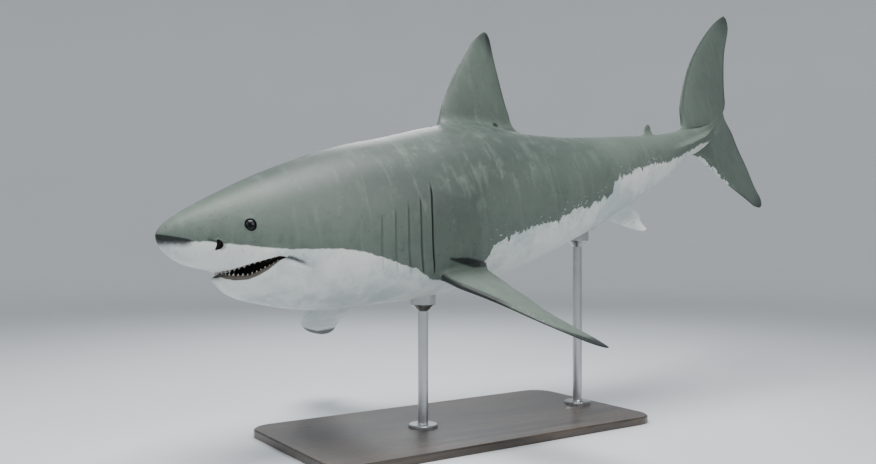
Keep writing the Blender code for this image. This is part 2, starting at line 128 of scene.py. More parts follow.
def profile(s, jaw):
    # top, underside, half width and widest line at s; jaw (0..1) swaps the snout's underside for the jaw's
    q, qs = np.sqrt(np.maximum(s, 0) * 100), np.sqrt(stations[:, 0])
    top, bottom, half, mid = [spline(q, qs, stations[:, k]) / 100 for k in range(1, 5)]
    start, end = jawLine[0, 0], jawLine[-1, 0]
    behindStart = np.sqrt(np.clip(s * 100, start, end) - start)
    low = spline(behindStart, np.sqrt(jawLine[:, 0] - start), jawLine[:, 1]) / 100
    first, last = bodyForm["jawSpan"]
    bottom = bottom + jaw * np.where((s > first) & (s < last), low - bottom, 0)
    return top, bottom, np.maximum(half, 0), mid


def section(s, phi, jaw=0.0):
    # outline at s: half width times cos, height times sin, each to a power just under one; and the keel
    top, bottom, half, mid = profile(s, jaw)
    f, k = bodyForm, bodyForm["keel"]
    c, si = np.cos(phi), np.sin(phi)
    lat = half * np.sign(c) * np.abs(c) ** f["roundSide"]
    above = mid + (top - mid) * np.abs(si) ** f["roundTop"]
    z = np.where(si > 0, above, mid - (mid - bottom) * np.abs(si) ** f["roundUnder"])
    side = np.degrees(np.arctan2(si, np.abs(c)))
    keel = k["out"] * smooth(s, *k["grows"]) * (1 - smooth(s, *k["fades"]))
    keel = keel * np.exp(-(side / k["spread"]) ** 2)
    return np.stack([s + 0 * phi, lat + np.sign(c) * keel, z], -1)


def angleOf(p, jaw=0.0):
    # the section angle and how far out a straight point lies: below 1 is inside the body
    top, bottom, half, mid = profile(p[..., 0], jaw)
    f, up = bodyForm, p[..., 2] > mid
    c = (np.abs(p[..., 1]) / np.maximum(half, 1e-6)) ** (1 / f["roundSide"])
    h = np.abs(p[..., 2] - mid) / np.maximum(np.where(up, top - mid, mid - bottom), 1e-6)
    si = h ** np.where(up, 1 / f["roundTop"], 1 / f["roundUnder"])
    phi = np.arctan2(np.where(up, si, -si), np.where(p[..., 1] < 0, -c, c))
    return np.where(phi < -math.pi / 2, phi + 2 * math.pi, phi), np.hypot(c, si)


# fins: rows of (share out, front edge along and out, rear edge along and out, thickness), in hundredths

finForms = dict(
    dorsal=dict(span=(.3475, .4805), rowCount=40, rows=[
        (0, 33.6, 8, 48.6, 6.4, 1.5), (.1, 34.9, 10, 47.4, 8.5, 1.3), (.25, 36.4, 12, 46.6, 10.6, 1.05),
        (.5, 39, 15.5, 46.1, 14.7, .75), (.75, 41.8, 18.55, 45.85, 18.1, .5), (.92, 43.8, 20.3, 45.7, 20, .3),
        (1, 45.1, 20.8, 45.45, 20.6, .15)]),
    caudalUpper=dict(span=(.8085, .934), rowCount=44, rows=[
        (0, 80, .225, 93.4, 1.925, 1.7), (.15, 81.3, 3.5, 93.9, 2.6, 1.3), (.32, 83.2, 6.7, 94.7, 5.1, .95),
        (.5, 86.2, 10, 95.9, 8, .7), (.68, 90, 12.7, 97.4, 10.8, .5), (.82, 93.9, 14.7, 98.9, 12.7, .36),
        (.93, 97.5, 16, 100.1, 14.5, .25), (1, 99.7, 16.4, 100.2, 15.8, .15)]),
    caudalLower=dict(column=-90, span=(.8125, .934), rowCount=40, rows=[
        (0, 80, .2, 93.4, 1.9, 1.7), (.18, 83.2, -2.6, 93.8, -1.3, 1.25), (.42, 86.6, -6, 94.5, -4.9, .8),
        (.66, 90.1, -9.7, 95.5, -8.5, .5), (.86, 93.6, -13.1, 96.4, -12.2, .32),
        (.96, 95.2, -14.5, 96.9, -14, .2), (1, 96.1, -14.9, 96.7, -14.7, .12)]),
    secondDorsal=dict(span=(.714, .743), rowCount=10, rows=[
        (0, 71, 3, 74.6, 2.4, .35), (.4, 71.9, 4.05, 74.1, 3.4, .28), (.8, 72.7, 4.65, 73.9, 4.3, .18),
        (1, 73.2, 4.85, 73.7, 4.75, .1)]),
    anal=dict(out=(0, -1), column=-90, span=(.741, .761), rowCount=9, rows=[
        (0, 73.6, 2.2, 76.2, 1.9, .35), (.4, 74.4, 2.95, 76, 2.7, .28), (.8, 75.1, 3.4, 75.9, 3.2, .18),
        (1, 75.5, 3.55, 75.8, 3.5, .1)]),
    pectoralLeft=dict(at=(5.7, -6.9), out=(.918, -.396), twist=17, bow=.7, column=-46, span=(.278, .342),
                      rowCount=52, rows=[
        (0, 27.3, -1.2, 33.9, -1, 1.4), (.08, 27.4, .9, 34.5, 1, 1.2), (.2, 28.1, 4, 34.3, 4, 1),
        (.4, 29, 8.6, 34.7, 7.9, .8), (.62, 30.1, 13.4, 34.7, 12.3, .55), (.82, 31.8, 17.6, 34.7, 16.5, .36),
        (.95, 33.2, 19.8, 34.6, 19.1, .22), (1, 34, 20.4, 34.4, 20.1, .13)]),
    pectoralRight=dict(at=(-5.7, -6.9), out=(-.95, -.312), twist=10, bow=1.4, column=226, span=(.275, .342),
                       rowCount=52, rows=[
        (0, 27.7, -1.2, 33.9, -1, 1.4), (.08, 27, .9, 34.2, 1, 1.2), (.2, 25.8, 4, 32.9, 4, 1),
        (.4, 23.5, 8.8, 30.3, 8, .8), (.62, 23.1, 13.4, 28.7, 12.4, .55), (.82, 25, 17.6, 28.8, 16.6, .36),
        (.95, 27.2, 19.8, 29.1, 19.3, .22), (1, 28.4, 20.3, 28.8, 20.1, .13)]),
)
pelvicRows = [(0, 55.8, -.8, 63, -.8, .6), (.25, 57.2, .6, 63.6, .5, .5), (.6, 59.6, 2.2, 63.1, 2, .35),
              (.88, 61.5, 3.35, 63.1, 3.25, .2), (1, 62.6, 3.8, 63.2, 3.75, .12)]
finForms["pelvicLeft"] = dict(at=(2.4, -5.2), out=(.45, -.893), column=-63, span=(.565, .632), rowCount=16,
                              rows=pelvicRows)
finForms["pelvicRight"] = dict(finForms["pelvicLeft"], at=(-2.4, -5.2), out=(-.74, -.673), column=243)
# where a fin's plane starts and points (sideways, up), its twist in degrees, its droop in hundredths, and the
# grid column that it grows from
finPlane = dict(at=(0, 0), out=(0, 1), twist=0, bow=0, column=90)
finForms = {name: {**finPlane, **form} for name, form in finForms.items()}


def finPoint(fin, t, u, side):
    # t out along the fin, u from front to rear edge; side (-1..1) goes through an airfoil's half thickness,
    # the chord turns by the twist about its front third and the plane droops by the bow times t cubed
    rows = np.array(fin["rows"], float)
    x0, h0, x1, h1, thick = [spline(t, rows[:, 0], rows[:, k]) for k in range(1, 6)]
    out = unit(np.array([0.0, *fin["out"]]))
    across = np.cross([1.0, 0, 0], out)
    if across[2] < -1e-9 or (abs(across[2]) < 1e-9 and across[1] < 0):
        across = -across
    turn = np.radians(fin["twist"]) * smooth(t, 0, .6)
    pivot = x0 + (x1 - x0) * .35
    d = x0 + (x1 - x0) * u - pivot
    half = 5 * thick * (.2969 * np.sqrt(u) - .126 * u - .3516 * u**2 + .2843 * u**3 - .1015 * u**4) + .02
    h = h0 + (h1 - h0) * u
    lift = side * half - d * np.sin(turn) - fin["bow"] * t**3
    p = (pivot + d * np.cos(turn))[..., None] * np.array([1.0, 0, 0]) + h[..., None] * out
    return (p + lift[..., None] * across + np.array([0.0, *fin["at"]])) / 100


def finRoot(fin, u, side):
    # the share out at which each chord point leaves the body, by halving the interval
    low, high = np.zeros_like(u), np.full_like(u, .6)
    for _ in range(30):
        t = (low + high) / 2
        inside = angleOf(finPoint(fin, t, u, side))[1] < 1
        low, high = np.where(inside, t, low), np.where(inside, high, t)
    return (low + high) / 2


# the skin's grid: columns round the body, rings along it

skinGrid = dict(
    columnsPerSide=80,
    headRings=88,  # from the snout's tip to the lips
    gillStart=.194, gillStartRings=62,  # the last even ring before the gills, and the number up to it
    slitStep=.00062, slitLead=.0031, slitLeadRings=6,  # a slit's rings lie this close; the gap before them
    gillPlaces=(.201, .217, .2325, .2475, .2615),
    gillSpans=((-34, 10), (-37, 12), (-40, 14), (-42, 17), (-43, 23)),  # lower and upper ends, degrees
    gillBow=(.025, 46, -12),  # how far back their ends sweep, over how many degrees, about where
    cornerColumns=14, jawRings=14,  # how soon the mouth's turn of the grid fades beyond its corner
    # how far the grid is drawn aside about a fin's root: columns, on the middle line or elsewhere, and rings
    rootColumns=(6, 12), rootRings=9,
    # relaxing: outwards from a root on the middle line or elsewhere, up a fin's rows, rings past its ends
    filletMiddle=(.9, .8, .65, .5, .35, .2, .1), filletSide=(.9, .85, .6, .35, .15),
    filletRows=(.9, .8, .6, .4, .22, .1, .04), filletEnd=4,
    forkFlat=(.83, .905), forkRelax=(.88, .905),  # where the stalk's sides turn flat, and soft
    # stretches behind the gills: from, to, number of rings
    stretches=((.2685, .345, 32), (.345, .4805, 44), (.4805, .564, 20), (.564, .635, 24), (.635, .714, 19),
               (.714, .761, 26), (.761, .8085, 11), (.8085, .934, 42)),
    filletSteps=36,
)
mouthForm = dict(
    # place and height, in hundredths, from the middle of the front to the corner
    upper=[(5.2, -3.95), (5.35, -3.9), (6.1, -3.7), (7.3, -3.3), (8.8, -2.98), (9.8, -2.8), (10.5, -2.98)],
    lower=[(5.42, -4.4), (5.6, -4.6), (6.1, -4.85), (7.1, -4.9), (7.9, -4.62), (8.75, -4.12), (9.3, -3.68),
           (9.85, -3.24), (10.5, -3.0)],
    corner=-17.0,  # the corner's angle on the flank
    back=.105,
    # the furrow behind the corner: place and height along it, how deep and wide in metres
    furrow=[(10.2, -2.95), (11.2, -3.27), (12.4, -3.85), (13.5, -4.6)], furrowDepth=.009, furrowWidth=.010,
    # the lip's swelling: metres out, height over the lip and half its breadth as shares of the length
    swelling=.0035, swellAbove=.0052, swellWide=.0042,
)


def columnAngles():
    # angles per column from the underside (-90) round the left flank and the back to the underside again,
    # spaced by the inverse of a density that is halved over the back
    a = np.linspace(-90, 90, 1801)
    density = 1 - .5 * smooth(a, 15, 36)
    share = np.concatenate([[0], np.cumsum((density[1:] + density[:-1]) / 2)])
    left = np.interp(np.linspace(0, share[-1], skinGrid["columnsPerSide"] + 1), share, a)
    return np.concatenate([left, 180 - left[-2:0:-1]])


def lipCurve(points, jaw, shares):
    # a lip from the front's middle to its corner, read at even shares of its length: place and angle
    table = np.array(points, float) / 100
    s = np.interp(np.linspace(0, len(table) - 1, 400), np.arange(len(table)), table[:, 0])
    z = np.interp(s, table[:, 0], table[:, 1])
    _, bottom, _, mid = profile(s, jaw)
    si = np.clip((mid - z) / (mid - bottom), 0, 1) ** (1 / bodyForm["roundUnder"])
    phi = -np.degrees(np.arcsin(si))
    phi[0] = -90
    p = section(s, np.radians(phi), jaw) * total
    p[0, 1] = 0
    run = np.concatenate([[0], np.cumsum(np.linalg.norm(np.diff(p, axis=0), axis=1))])
    return np.interp(shares * run[-1], run, s), np.interp(shares * run[-1], run, phi)


def ringPlaces():
    # places of the rings behind the lips, and the ring in the middle of each gill slit
    g = skinGrid
    places, slits = list(np.linspace(mouthForm["back"], g["gillStart"], g["gillStartRings"])), []
    for at in g["gillPlaces"]:
        places += list(np.linspace(places[-1], at - g["slitLead"], g["slitLeadRings"])[1:])
        slits.append(len(places) - slitRows[0])
        places += list(at + slitRows * g["slitStep"])
    places += list(np.linspace(places[-1], g["stretches"][0][0], 3)[1:])
    for a, b, n in g["stretches"]:
        places += list(np.linspace(a, b, n + 1)[1:])
    return np.array(places), slits


slitRows = np.arange(-4, 7)  # a slit's rings, about its middle one
angles = columnAngles()
columns = len(angles)  # column 0 is the underside, columns / 2 the back
behind, slitRings = ringPlaces()
lipRing = skinGrid["headRings"]
slitRings = [lipRing + k for k in slitRings]
rings = lipRing + len(behind)
backColumn = columns // 2
ringNumber = np.arange(rings)[:, None]
cornerColumn = int(np.argmin(np.abs(angles[:backColumn] - mouthForm["corner"])))


def headSteps():
    # shares from the snout's tip (0) to the lips (1): small steps at the tip, growing to even ones
    step = np.minimum(.0005 + .3 * np.linspace(0, 1, skinGrid["headRings"] + 1) ** 1.1, .011)
    run = np.concatenate([[0], np.cumsum(step)])[:skinGrid["headRings"] + 1]
    return run / run[-1]


def makeSkinPlaces():
    # place and angle of every grid point, and how much it belongs to the jaw
    j = np.arange(columns)
    side = np.minimum(j, columns - j)  # column counted from the underside, either way
    share = np.clip(side / cornerColumn, 0, 1)
    flank = np.interp(side, np.arange(backColumn + 1), angles[:backColumn + 1])
    beyond = side > cornerColumn
    fade = np.where(beyond, np.clip(1 - (side - cornerColumn) / skinGrid["cornerColumns"], 0, 1) ** 2, 1.0)
    upS, upPhi = lipCurve(mouthForm["upper"], 0.0, share)
    lowS, lowPhi = lipCurve(mouthForm["lower"], 1.0, share)
    upTurn, lowTurn = (upPhi - flank) * fade, (lowPhi - flank) * fade
    upTurn[beyond] = (upPhi[beyond] - flank[cornerColumn]) * fade[beyond]
    lowTurn[beyond] = (lowPhi[beyond] - flank[cornerColumn]) * fade[beyond]
    steps = headSteps()[:, None]
    s, turn = np.zeros((rings, columns)), np.zeros((rings, columns))
    s[:lipRing + 1] = steps * upS
    turn[:lipRing + 1] = upTurn * smooth(steps, .45, 1.0)
    k = behind[:, None]
    calm = 1 - smooth(k, mouthForm["back"], .185)
    s[lipRing:] = k + (lowS - mouthForm["back"]) * calm
    turn[lipRing:] = lowTurn * calm
    lowerLip = (s[lipRing].copy(), turn[lipRing].copy())
    s[lipRing], turn[lipRing] = upS, upTurn
    # rings of the gill region sweep back towards the back and the belly
    reach, width, about = skinGrid["gillBow"]
    w = smooth(s, .14, .2) * (1 - smooth(s, .27, .35))
    s = s + w * reach * (1 - np.exp(-((flank - about) / width) ** 2))
    grown = smooth(ringNumber, lipRing, lipRing + skinGrid["jawRings"])
    jaw = np.where(beyond[None, :], grown, 1.0) * (ringNumber > lipRing)
    return s, flank + turn, jaw, lowerLip, flank


placeS, flankAngle, jawShare, lowerLip, flank = makeSkinPlaces()


def toSection(flankDegrees):
    # an angle counted on either flank becomes the section's own angle, past 90 degrees on the right
    right = np.arange(columns) > backColumn
    return np.radians(np.where(right, 180 - flankDegrees, flankDegrees))


# room for the fins: the grid is parted along each root, and drawn aside to the root's outline

fins, shiftS, shiftPhi = {}, np.zeros((rings, columns)), np.zeros((rings, columns))
sectionAngle = toSection(flankAngle)
for name, form in finForms.items():
    column = int(np.argmin(np.abs(np.degrees(toSection(flank)) - form["column"])))
    path = placeS[:, column]
    first, last = [int(np.argmin(np.abs(path - at))) for at in form["span"]]
    u = np.linspace(0, 1, last - first + 1)
    roots = {}
    for side in (-1, 1):
        t = finRoot(form, u, np.where((u == 0) | (u == 1), 0, side))
        p = finPoint(form, t, u, np.where((u == 0) | (u == 1), 0, side))
        phi = angleOf(p)[0]
        if form["column"] == -90:
            phi = np.where(phi > math.pi, phi - 2 * math.pi, phi)
        roots[side] = (t, p, phi)
    # which side of the fin faces the higher column numbers
    ahead = 1 if np.mean(roots[1][2]) > np.mean(roots[-1][2]) else -1
    fins[name] = dict(form=form, column=column, first=first, last=last, u=u, roots=roots, ahead=ahead)
    width = skinGrid["rootColumns"][form["column"] not in (90, -90)]
    near = np.clip(np.arange(rings), first, last)
    outside = np.abs(np.arange(rings) - near)
    along = np.clip(1 - outside / skinGrid["rootRings"], 0, 1) ** 2
    for way in (1, -1):
        t, p, phi = roots[ahead * way]
        dS = (p[near - first, 0] - path[near]) * along
        dPhi = (phi[near - first] - sectionAngle[near, column]) * along
        for step in range(1, width):
            j = (column + way * step) % columns
            shiftS[:, j] += dS * (1 - step / width) ** 2
            shiftPhi[:, j] += dPhi * (1 - step / width) ** 2
    shiftS[:, column] += dS * (outside > 0)
    shiftPhi[:, column] += dPhi * (outside > 0)
print("fins placed:", ", ".join(fins))

placeS = placeS + shiftS
sectionAngle = sectionAngle + shiftPhi

# gill slits: each ring near a slit is moved back and sunk to make a flap over a deep fold, darkened with
# painted shade
gillFold = dict(
    # ring by ring from front to rear: metres back, metres in, and painted shade
    back=(0, .0004, .0014, .0034, .0031, .0013, .0008, .0018, .0022, .0012, 0),
    sunk=(0, -.0010, -.0022, -.0027, -.0008, .0045, .0110, .0105, .0045, .0006, 0),
    shade=(0, 0, 0, 0, .3, .8, 1, .9, .4, .1, 0),
    endLength=8,  # degrees that a slit's ends fade over
    strength=(.30, .34, .40, .55, 1.0),  # each slit's share of it
)
skinSunk, slitShade = np.zeros((rings, columns)), np.zeros((rings, columns))
foldBack, foldSunk, foldShade = [np.array(gillFold[key])[:, None] for key in ("back", "sunk", "shade")]
for ring, (low, high), strength in zip(slitRings, skinGrid["gillSpans"], gillFold["strength"]):
    k, end = ring + slitRows, gillFold["endLength"]
    gap = smooth(flank, low, low + end) * (1 - smooth(flank, high - end, high))
    placeS[k] += foldBack / total * gap
    skinSunk[k] += foldSunk * gap * strength
    slitShade[k] += foldShade * smooth(gap, 0, .6) * strength

straight = section(placeS, sectionAngle, jawShare)


def toLine(x, z, line):
    # distance in the side view from a chain of points
    away = np.full_like(x, 99.0)
    for (x0, z0), (x1, z1) in zip(line[:-1], line[1:]):
        t = np.clip(((x - x0) * (x1 - x0) + (z - z0) * (z1 - z0)) / ((x1 - x0) ** 2 + (z1 - z0) ** 2), 0, 1)
        away = np.minimum(away, np.hypot(x - x0 - t * (x1 - x0), z - z0 - t * (z1 - z0)))
    return away


# the furrow behind the mouth's corner widens backwards; the upper lip swells above it
along, _, height = np.moveaxis(straight, -1, 0)
fromFurrow = toLine(along, height, np.array(mouthForm["furrow"]) / 100) * total
fromFurrow = fromFurrow / mouthForm["furrowWidth"] / (1 + .5 * smooth(along, .105, .13))
behindLip = smooth(ringNumber, lipRing, lipRing + 5) * (1 - smooth(along, .118, .136))
skinSunk += mouthForm["furrowDepth"] * np.exp(-fromFurrow**2) * behindLip
overLip = np.interp(along, *np.array(mouthForm["upper"] + [(12.6, -3.7)]).T[:, 2:] / 100)
swell = np.exp(-((height - overLip - mouthForm["swellAbove"]) / mouthForm["swellWide"]) ** 2)
skinSunk -= mouthForm["swelling"] * (swell * smooth(along, .075, .095) * (1 - smooth(along, .11, .13)))
# painted shade along the furrow, from the lip backwards
nearLip = smooth(ringNumber, lipRing - 1, lipRing + 2) * (1 - smooth(along, .116, .136))
furrowShade = np.exp(-(1.5 * fromFurrow)**2) * nearLip
straight[lipRing] = section(placeS[lipRing], sectionAngle[lipRing], 0.0)
straight[0] = 0
lowerLipStraight = section(lowerLip[0], toSection(flank + lowerLip[1]), 1.0)
for fin in fins.values():
    i = np.arange(fin["first"], fin["last"] + 1)
    straight[i, fin["column"]] = fin["roots"][-fin["ahead"]][1]
# the stalk's sides flatten towards the fork, straight from one lobe's root to the other's
i = np.arange(fins["caudalLower"]["first"], fins["caudalLower"]["last"] + 1)
for flankSide in (1, -1):
    j = (flankSide * np.arange(1, backColumn)) % columns
    low, high = [fins[lobe]["roots"][flankSide][1][-len(i):, None] for lobe in ("caudalLower", "caudalUpper")]
    here = straight[i[:, None], j]
    t = np.clip((here[..., 2] - low[..., 2]) / np.maximum(high[..., 2] - low[..., 2], 1e-6), 0, 1)
    level = low[..., 1] + (high[..., 1] - low[..., 1]) * t
    here[..., 1] += (level - here[..., 1]) * smooth(here[..., 0], *skinGrid["forkFlat"])
    straight[i[:, None], j] = here


# the skin's mesh is gathered here, block by block

skinBlocks, skinQuads, counted = [], [], 0
markNames = ("lining", "fold", "share", "edge", "under", "kind", "relax")


def addPoints(place, world=None, **marks):
    # keeps a block of points, straight and bent, with its marks; gives their numbers in the same layout
    global counted
    place = np.asarray(place, float)
    shape = place.shape[:-1]
    count = int(np.prod(shape))
    block = dict(place=place.reshape(-1, 3), world=(bent(place) if world is None else world).reshape(-1, 3))
    for key in markNames:
        block[key] = np.broadcast_to(marks.get(key, 0.0), shape).reshape(-1).astype(float)
    skinBlocks.append(block)
    counted += count
    return np.arange(counted - count, counted).reshape(shape)


def addGrid(ids):
    # quads between neighbouring rows and columns of point numbers
    skinQuads.append(np.stack([ids[:-1, :-1], ids[1:, :-1], ids[1:, 1:], ids[:-1, 1:]], -1).reshape(-1, 4))


def addRing(ids, pole):
    # triangles from a closed row of point numbers to one point
    after = np.roll(ids, -1)
    skinQuads.append(np.stack([ids, after, np.full_like(ids, pole), np.full_like(ids, pole)], -1))


# body: relaxing weights near each fin's root and the mouth's corners round the joins off
relax = np.zeros((rings, columns))
for fin in fins.values():
    i = np.arange(rings)
    out = np.maximum(np.maximum(fin["first"] - i, i - fin["last"]), 0)
    reach = skinGrid["filletMiddle" if fin["form"]["column"] in (90, -90) else "filletSide"]
    near = np.clip(1 - out / skinGrid["filletEnd"], 0, 1)
    for step in range(-len(reach) + 1, len(reach)):
        j = (fin["column"] + step) % columns
        relax[:, j] = np.maximum(relax[:, j], reach[abs(step)] * near)
side = np.minimum(np.arange(columns), columns - np.arange(columns))
lipBand = np.exp(-((side - cornerColumn - 1) / 3.0) ** 2) * np.exp(-((ringNumber - lipRing - 2) / 5.0) ** 2)
relax = np.maximum(relax, .8 * lipBand * (ringNumber != lipRing))
relax = np.maximum(relax, .85 * smooth(placeS, *skinGrid["forkRelax"]))
flatWorld = bent(straight)
alongStep = np.gradient(flatWorld, axis=0)
roundStep = np.roll(flatWorld, -1, 1) - np.roll(flatWorld, 1, 1)
outward = unit(np.cross(alongStep, roundStep))
outward[0] = unit(bent(np.zeros(3)) - bent(np.array([.01, 0, 0])))
# the gill slits and the mouth's furrow carry painted shade in this mark
ids = addPoints(straight, flatWorld - outward * skinSunk[..., None],
                fold=np.maximum(slitShade, .75 * furrowShade), relax=relax)
ids[0] = ids[0, 0]
corners = [ids[:-1].copy(), ids[1:].copy(), np.roll(ids[1:], -1, 1), np.roll(ids[:-1], -1, 1)]
whole = np.ones((rings - 1, columns), bool)

# fins: the root's far edge gets points of its own, then rows climb to a closed tip
finKinds = dict(dorsal=1, caudalUpper=2, caudalLower=3, secondDorsal=4, anal=5, pectoralLeft=6,
                pectoralRight=6, pelvicLeft=7, pelvicRight=7)
for name, fin in fins.items():
    form, first, last, column, ahead = [fin[key] for key in ("form", "first", "last", "column", "ahead")]
    far = ids[first:last + 1, column].copy()
    far[1:-1] = addPoints(fin["roots"][ahead][1][1:-1], kind=finKinds[name], relax=.9,
                          edge=fin["u"][1:-1], under=ahead)
    corners[0][first:last, column], corners[1][first:last, column] = far[:-1], far[1:]
    near = ids[first:last + 1, column]
    rows = form["rowCount"]
    climb = (np.arange(1, rows + 1) / rows)[:, None]
    sheets = []
    for side, base in ((ahead, far), (-ahead, near)):
        t0 = fin["roots"][side][0][None, :]
        t = t0 + (1 - t0) * climb
        even = fin["u"][None, :]
        u = even + (.5 - .5 * np.cos(math.pi * even) - even) * .75 * smooth(t, .1, .35)
        lean = np.where((even == 0) | (even == 1) | (climb == 1), 0.0, side)
        keep = np.array([*skinGrid["filletRows"]] + [0] * rows)[:rows, None]
        own = addPoints(finPoint(form, t, u, lean), kind=finKinds[name], share=climb + 0 * t, edge=u,
                        under=side, relax=keep)
        sheets.append(np.concatenate([base[None], own]))
    sheets[1][1:, 0], sheets[1][1:, -1], sheets[1][-1] = sheets[0][1:, 0], sheets[0][1:, -1], sheets[0][-1]
    addGrid(sheets[0])
    addGrid(sheets[1])

# mouth: lips parted at one ring, joined by a lining that folds over the gums to the palate and the floor
mouthLining = dict(
    # metres in from the lip and up from it; the lower half is laid the other way up
    upper=[(.0014, -.0016), (.0035, -.0014), (.0052, .0014), (.0074, .0018), (.0105, -.0008), (.0160, -.0030),
           (.0300, -.0030), (.0560, .0060)],
    lower=[(.0014, .0014), (.0035, .0012), (.0052, .0026), (.0072, .0080), (.0105, .0135), (.0160, .0160),
           (.0300, .0170), (.0560, .0120)],
    throat=.080, middle=.100,  # how far in it closes; the place along that it heads for
    # a gap of widest gives the full gums; the palate and floor, beyond gumDepth, reach theirs at floorGap
    widest=.040, gumDepth=.02, floorGap=.0215,
    # how deep each row's painted shade is, from the upper lip in and out to the lower one
    shade=(.35, .5, .55, .55, .6, .8, 1, 1, 1, 1, 1, .75, .5, .48, .5, .45, .35),
)
mouthColumns = np.concatenate([np.arange(cornerColumn, -1, -1), columns - np.arange(1, cornerColumn + 1)])
sideHere = np.minimum(mouthColumns, columns - mouthColumns)
upLip, lowLip = straight[lipRing, mouthColumns], lowerLipStraight[mouthColumns]
upLip = np.where((mouthColumns == 0)[:, None], upLip * [1, 0, 1], upLip)
lowLip = np.where((mouthColumns == 0)[:, None], lowLip * [1, 0, 1], lowLip)
lowLip[[0, -1]] = upLip[[0, -1]]
lowerIds = ids[lipRing].copy()
lowerIds[mouthColumns[1:-1]] = addPoints(lowLip[1:-1], lining=.25)
# cells between the columns of the mouth, by their lower number
cells = np.where(mouthColumns[:-1] == 0, columns - 1, np.minimum(mouthColumns[:-1], mouthColumns[1:]))
corners[0][lipRing, cells] = lowerIds[cells]
corners[3][lipRing, cells] = lowerIds[(cells + 1) % columns]


def liningPoints(lip, steps):
    # each point goes in from the lip towards the middle of the mouth, and up or down, less where the gap is
    # narrow; the palate and the floor, further in, close a narrow gap
    inward = np.array([mouthLining["middle"], 0]) - lip[:, :2]
    inward = np.concatenate([unit(inward), np.zeros((len(lip), 1))], 1)
    rise, rows = np.array([0, 0, 1.0]), []
    for a, b in steps:
        share = gumShare if a < mouthLining["gumDepth"] else floorShare
        rows.append(lip + (ease * share)[:, None] * rise * b / total + ease[:, None] * inward * a / total)
    return np.stack(rows)


ease = 1 - np.clip(sideHere / cornerColumn, 0, 1) ** 5
gap = (upLip - lowLip)[:, 2] * total
gumShare = np.clip(gap / mouthLining["widest"], .3, 1)
floorShare = np.clip(gap / mouthLining["floorGap"], 0, 1)
upRows, lowRows = liningPoints(upLip, mouthLining["upper"]), liningPoints(lowLip, mouthLining["lower"])
closing = [(mouthLining["throat"], 0)]
throat = (liningPoints(upLip, closing) + liningPoints(lowLip, closing)) / 2
lining = np.concatenate([upRows, throat, lowRows[::-1]])
liningIds = addPoints(lining, lining=np.array(mouthLining["shade"])[:, None])
liningIds[:, 0], liningIds[:, -1] = ids[lipRing, mouthColumns[0]], ids[lipRing, mouthColumns[-1]]
addGrid(np.concatenate([ids[lipRing, mouthColumns][None], liningIds, lowerIds[mouthColumns][None]]))


# openings in the skin: a block of the grid is taken out and filled with loops that follow an outline

def onFlank(s, degrees, right):
    # point, straight and bent, and outward direction of the head's surface at a place and a flank angle
    angle = lambda d: np.radians(180 - d if right else d)
    p = section(s, angle(degrees), 0.0)
    q = bent(p)
    back = bent(section(s + .0008, angle(degrees), 0.0)) - q
    up = bent(section(s, angle(degrees + .8), 0.0)) - q
    n = unit(np.cross(up, back))
    return p, q, n if right else -n


def openSkin(right, s0, degrees0, halfRings, halfColumns, outline, loops, heights, inner, shade):
    # loops blend from the block's edge to the outline (a back, b up, metres), then follow inner's own shape
    j0 = int(np.argmin(np.abs(flank[:backColumn] - degrees0)))
    i0 = int(np.argmin(np.abs(placeS[:lipRing, j0] - s0)))
    i = np.arange(i0 - halfRings, i0 + halfRings + 1)
    j = np.arange(j0 - halfColumns, j0 + halfColumns + 1)
    loopI = np.concatenate([i[:-1], np.full(len(j) - 1, i[-1]), i[::-1][:-1], np.full(len(j) - 1, i[0])])
    loopJ = np.concatenate([np.full(len(i) - 1, j[0]), j[:-1], np.full(len(i) - 1, j[-1]), j[::-1][:-1]])
    perDegree = np.linalg.norm(np.subtract(*[onFlank(s0, degrees0 + d, right)[1] for d in (1, -1)])) / 2
    a = (placeS[loopI, loopJ] - s0) * total
    b = (np.degrees(sectionAngle[loopI, loopJ]) - degrees0) * perDegree
    theta = np.arctan2(b, a)
    ca, cb = outline(theta)
    column = (-loopJ) % columns if right else loopJ
    cellJ = (-(j[1:])) % columns if right else j[:-1]
    whole[np.ix_(i[:-1], cellJ)] = False
    rows = [ids[loopI, column]]
    for w, h in zip(loops, heights(theta)):
        p, q, n = onFlank(s0 + (a + w * (ca - a)) / total, degrees0 + (b + w * (cb - b)) / perDegree, right)
        # painted shade along the rim, deepest over the upper side
        fold = shade * (.7 + .3 * np.sin(theta)) * smooth(w, .88, 1.0)
        rows.append(addPoints(p, q + n * h[:, None], fold=fold))
    p0, q0, n0 = onFlank(s0, degrees0, right)
    # the pit or socket inside the outline takes the lining mark at full strength, painted near black as shade
    for pa, pb, depth, dark in inner(theta, ca, cb):
        p, q, n = onFlank(s0 + pa / total, degrees0 + pb / perDegree, right)
        rows.append(addPoints(p, q - n0 * depth[:, None], lining=dark))
    pole = addPoints(p0[None], (q0 - n0 * (depth[0] + .0006))[None], lining=dark)[0]
    closed = np.array(rows)
    addGrid(np.concatenate([closed, closed[:, :1]], 1))
    addRing(rows[-1], pole)
    return q0, n0, unit(onFlank(s0 + .002, degrees0, right)[1] - q0)


eyeForm = dict(
    place=.073, angle=10.3, halfWide=.0178, halfTall=.0206, tilt=8,  # the opening between the lids
    ball=.030, sunk=.0247,  # radius and depth of its centre
    # the skin behind the ball: radius, depth
    socket=((.0254, .0078), (.0256, .0108), (.023, .0146), (.012, .0162)),
    # the ball's closed back: radius, height
    behind=((.0243, -.0080), (.0238, -.0100), (.0212, -.0122), (.0150, -.0138), (.0075, -.0144), (0, -.0145)),
)
nostrilForm = dict(
    place=.0468, angle=-16.0, halfWide=.0090, halfTall=.0190, tilt=-8, curve=24.0,
    inside=((.93, .0015), (.86, .0050), (.7, .0095), (.35, .0125)),  # the pit: share of the outline, depth
)


def tilted(a, b, tilt):
    return a * math.cos(tilt) - b * math.sin(tilt), a * math.sin(tilt) + b * math.cos(tilt)


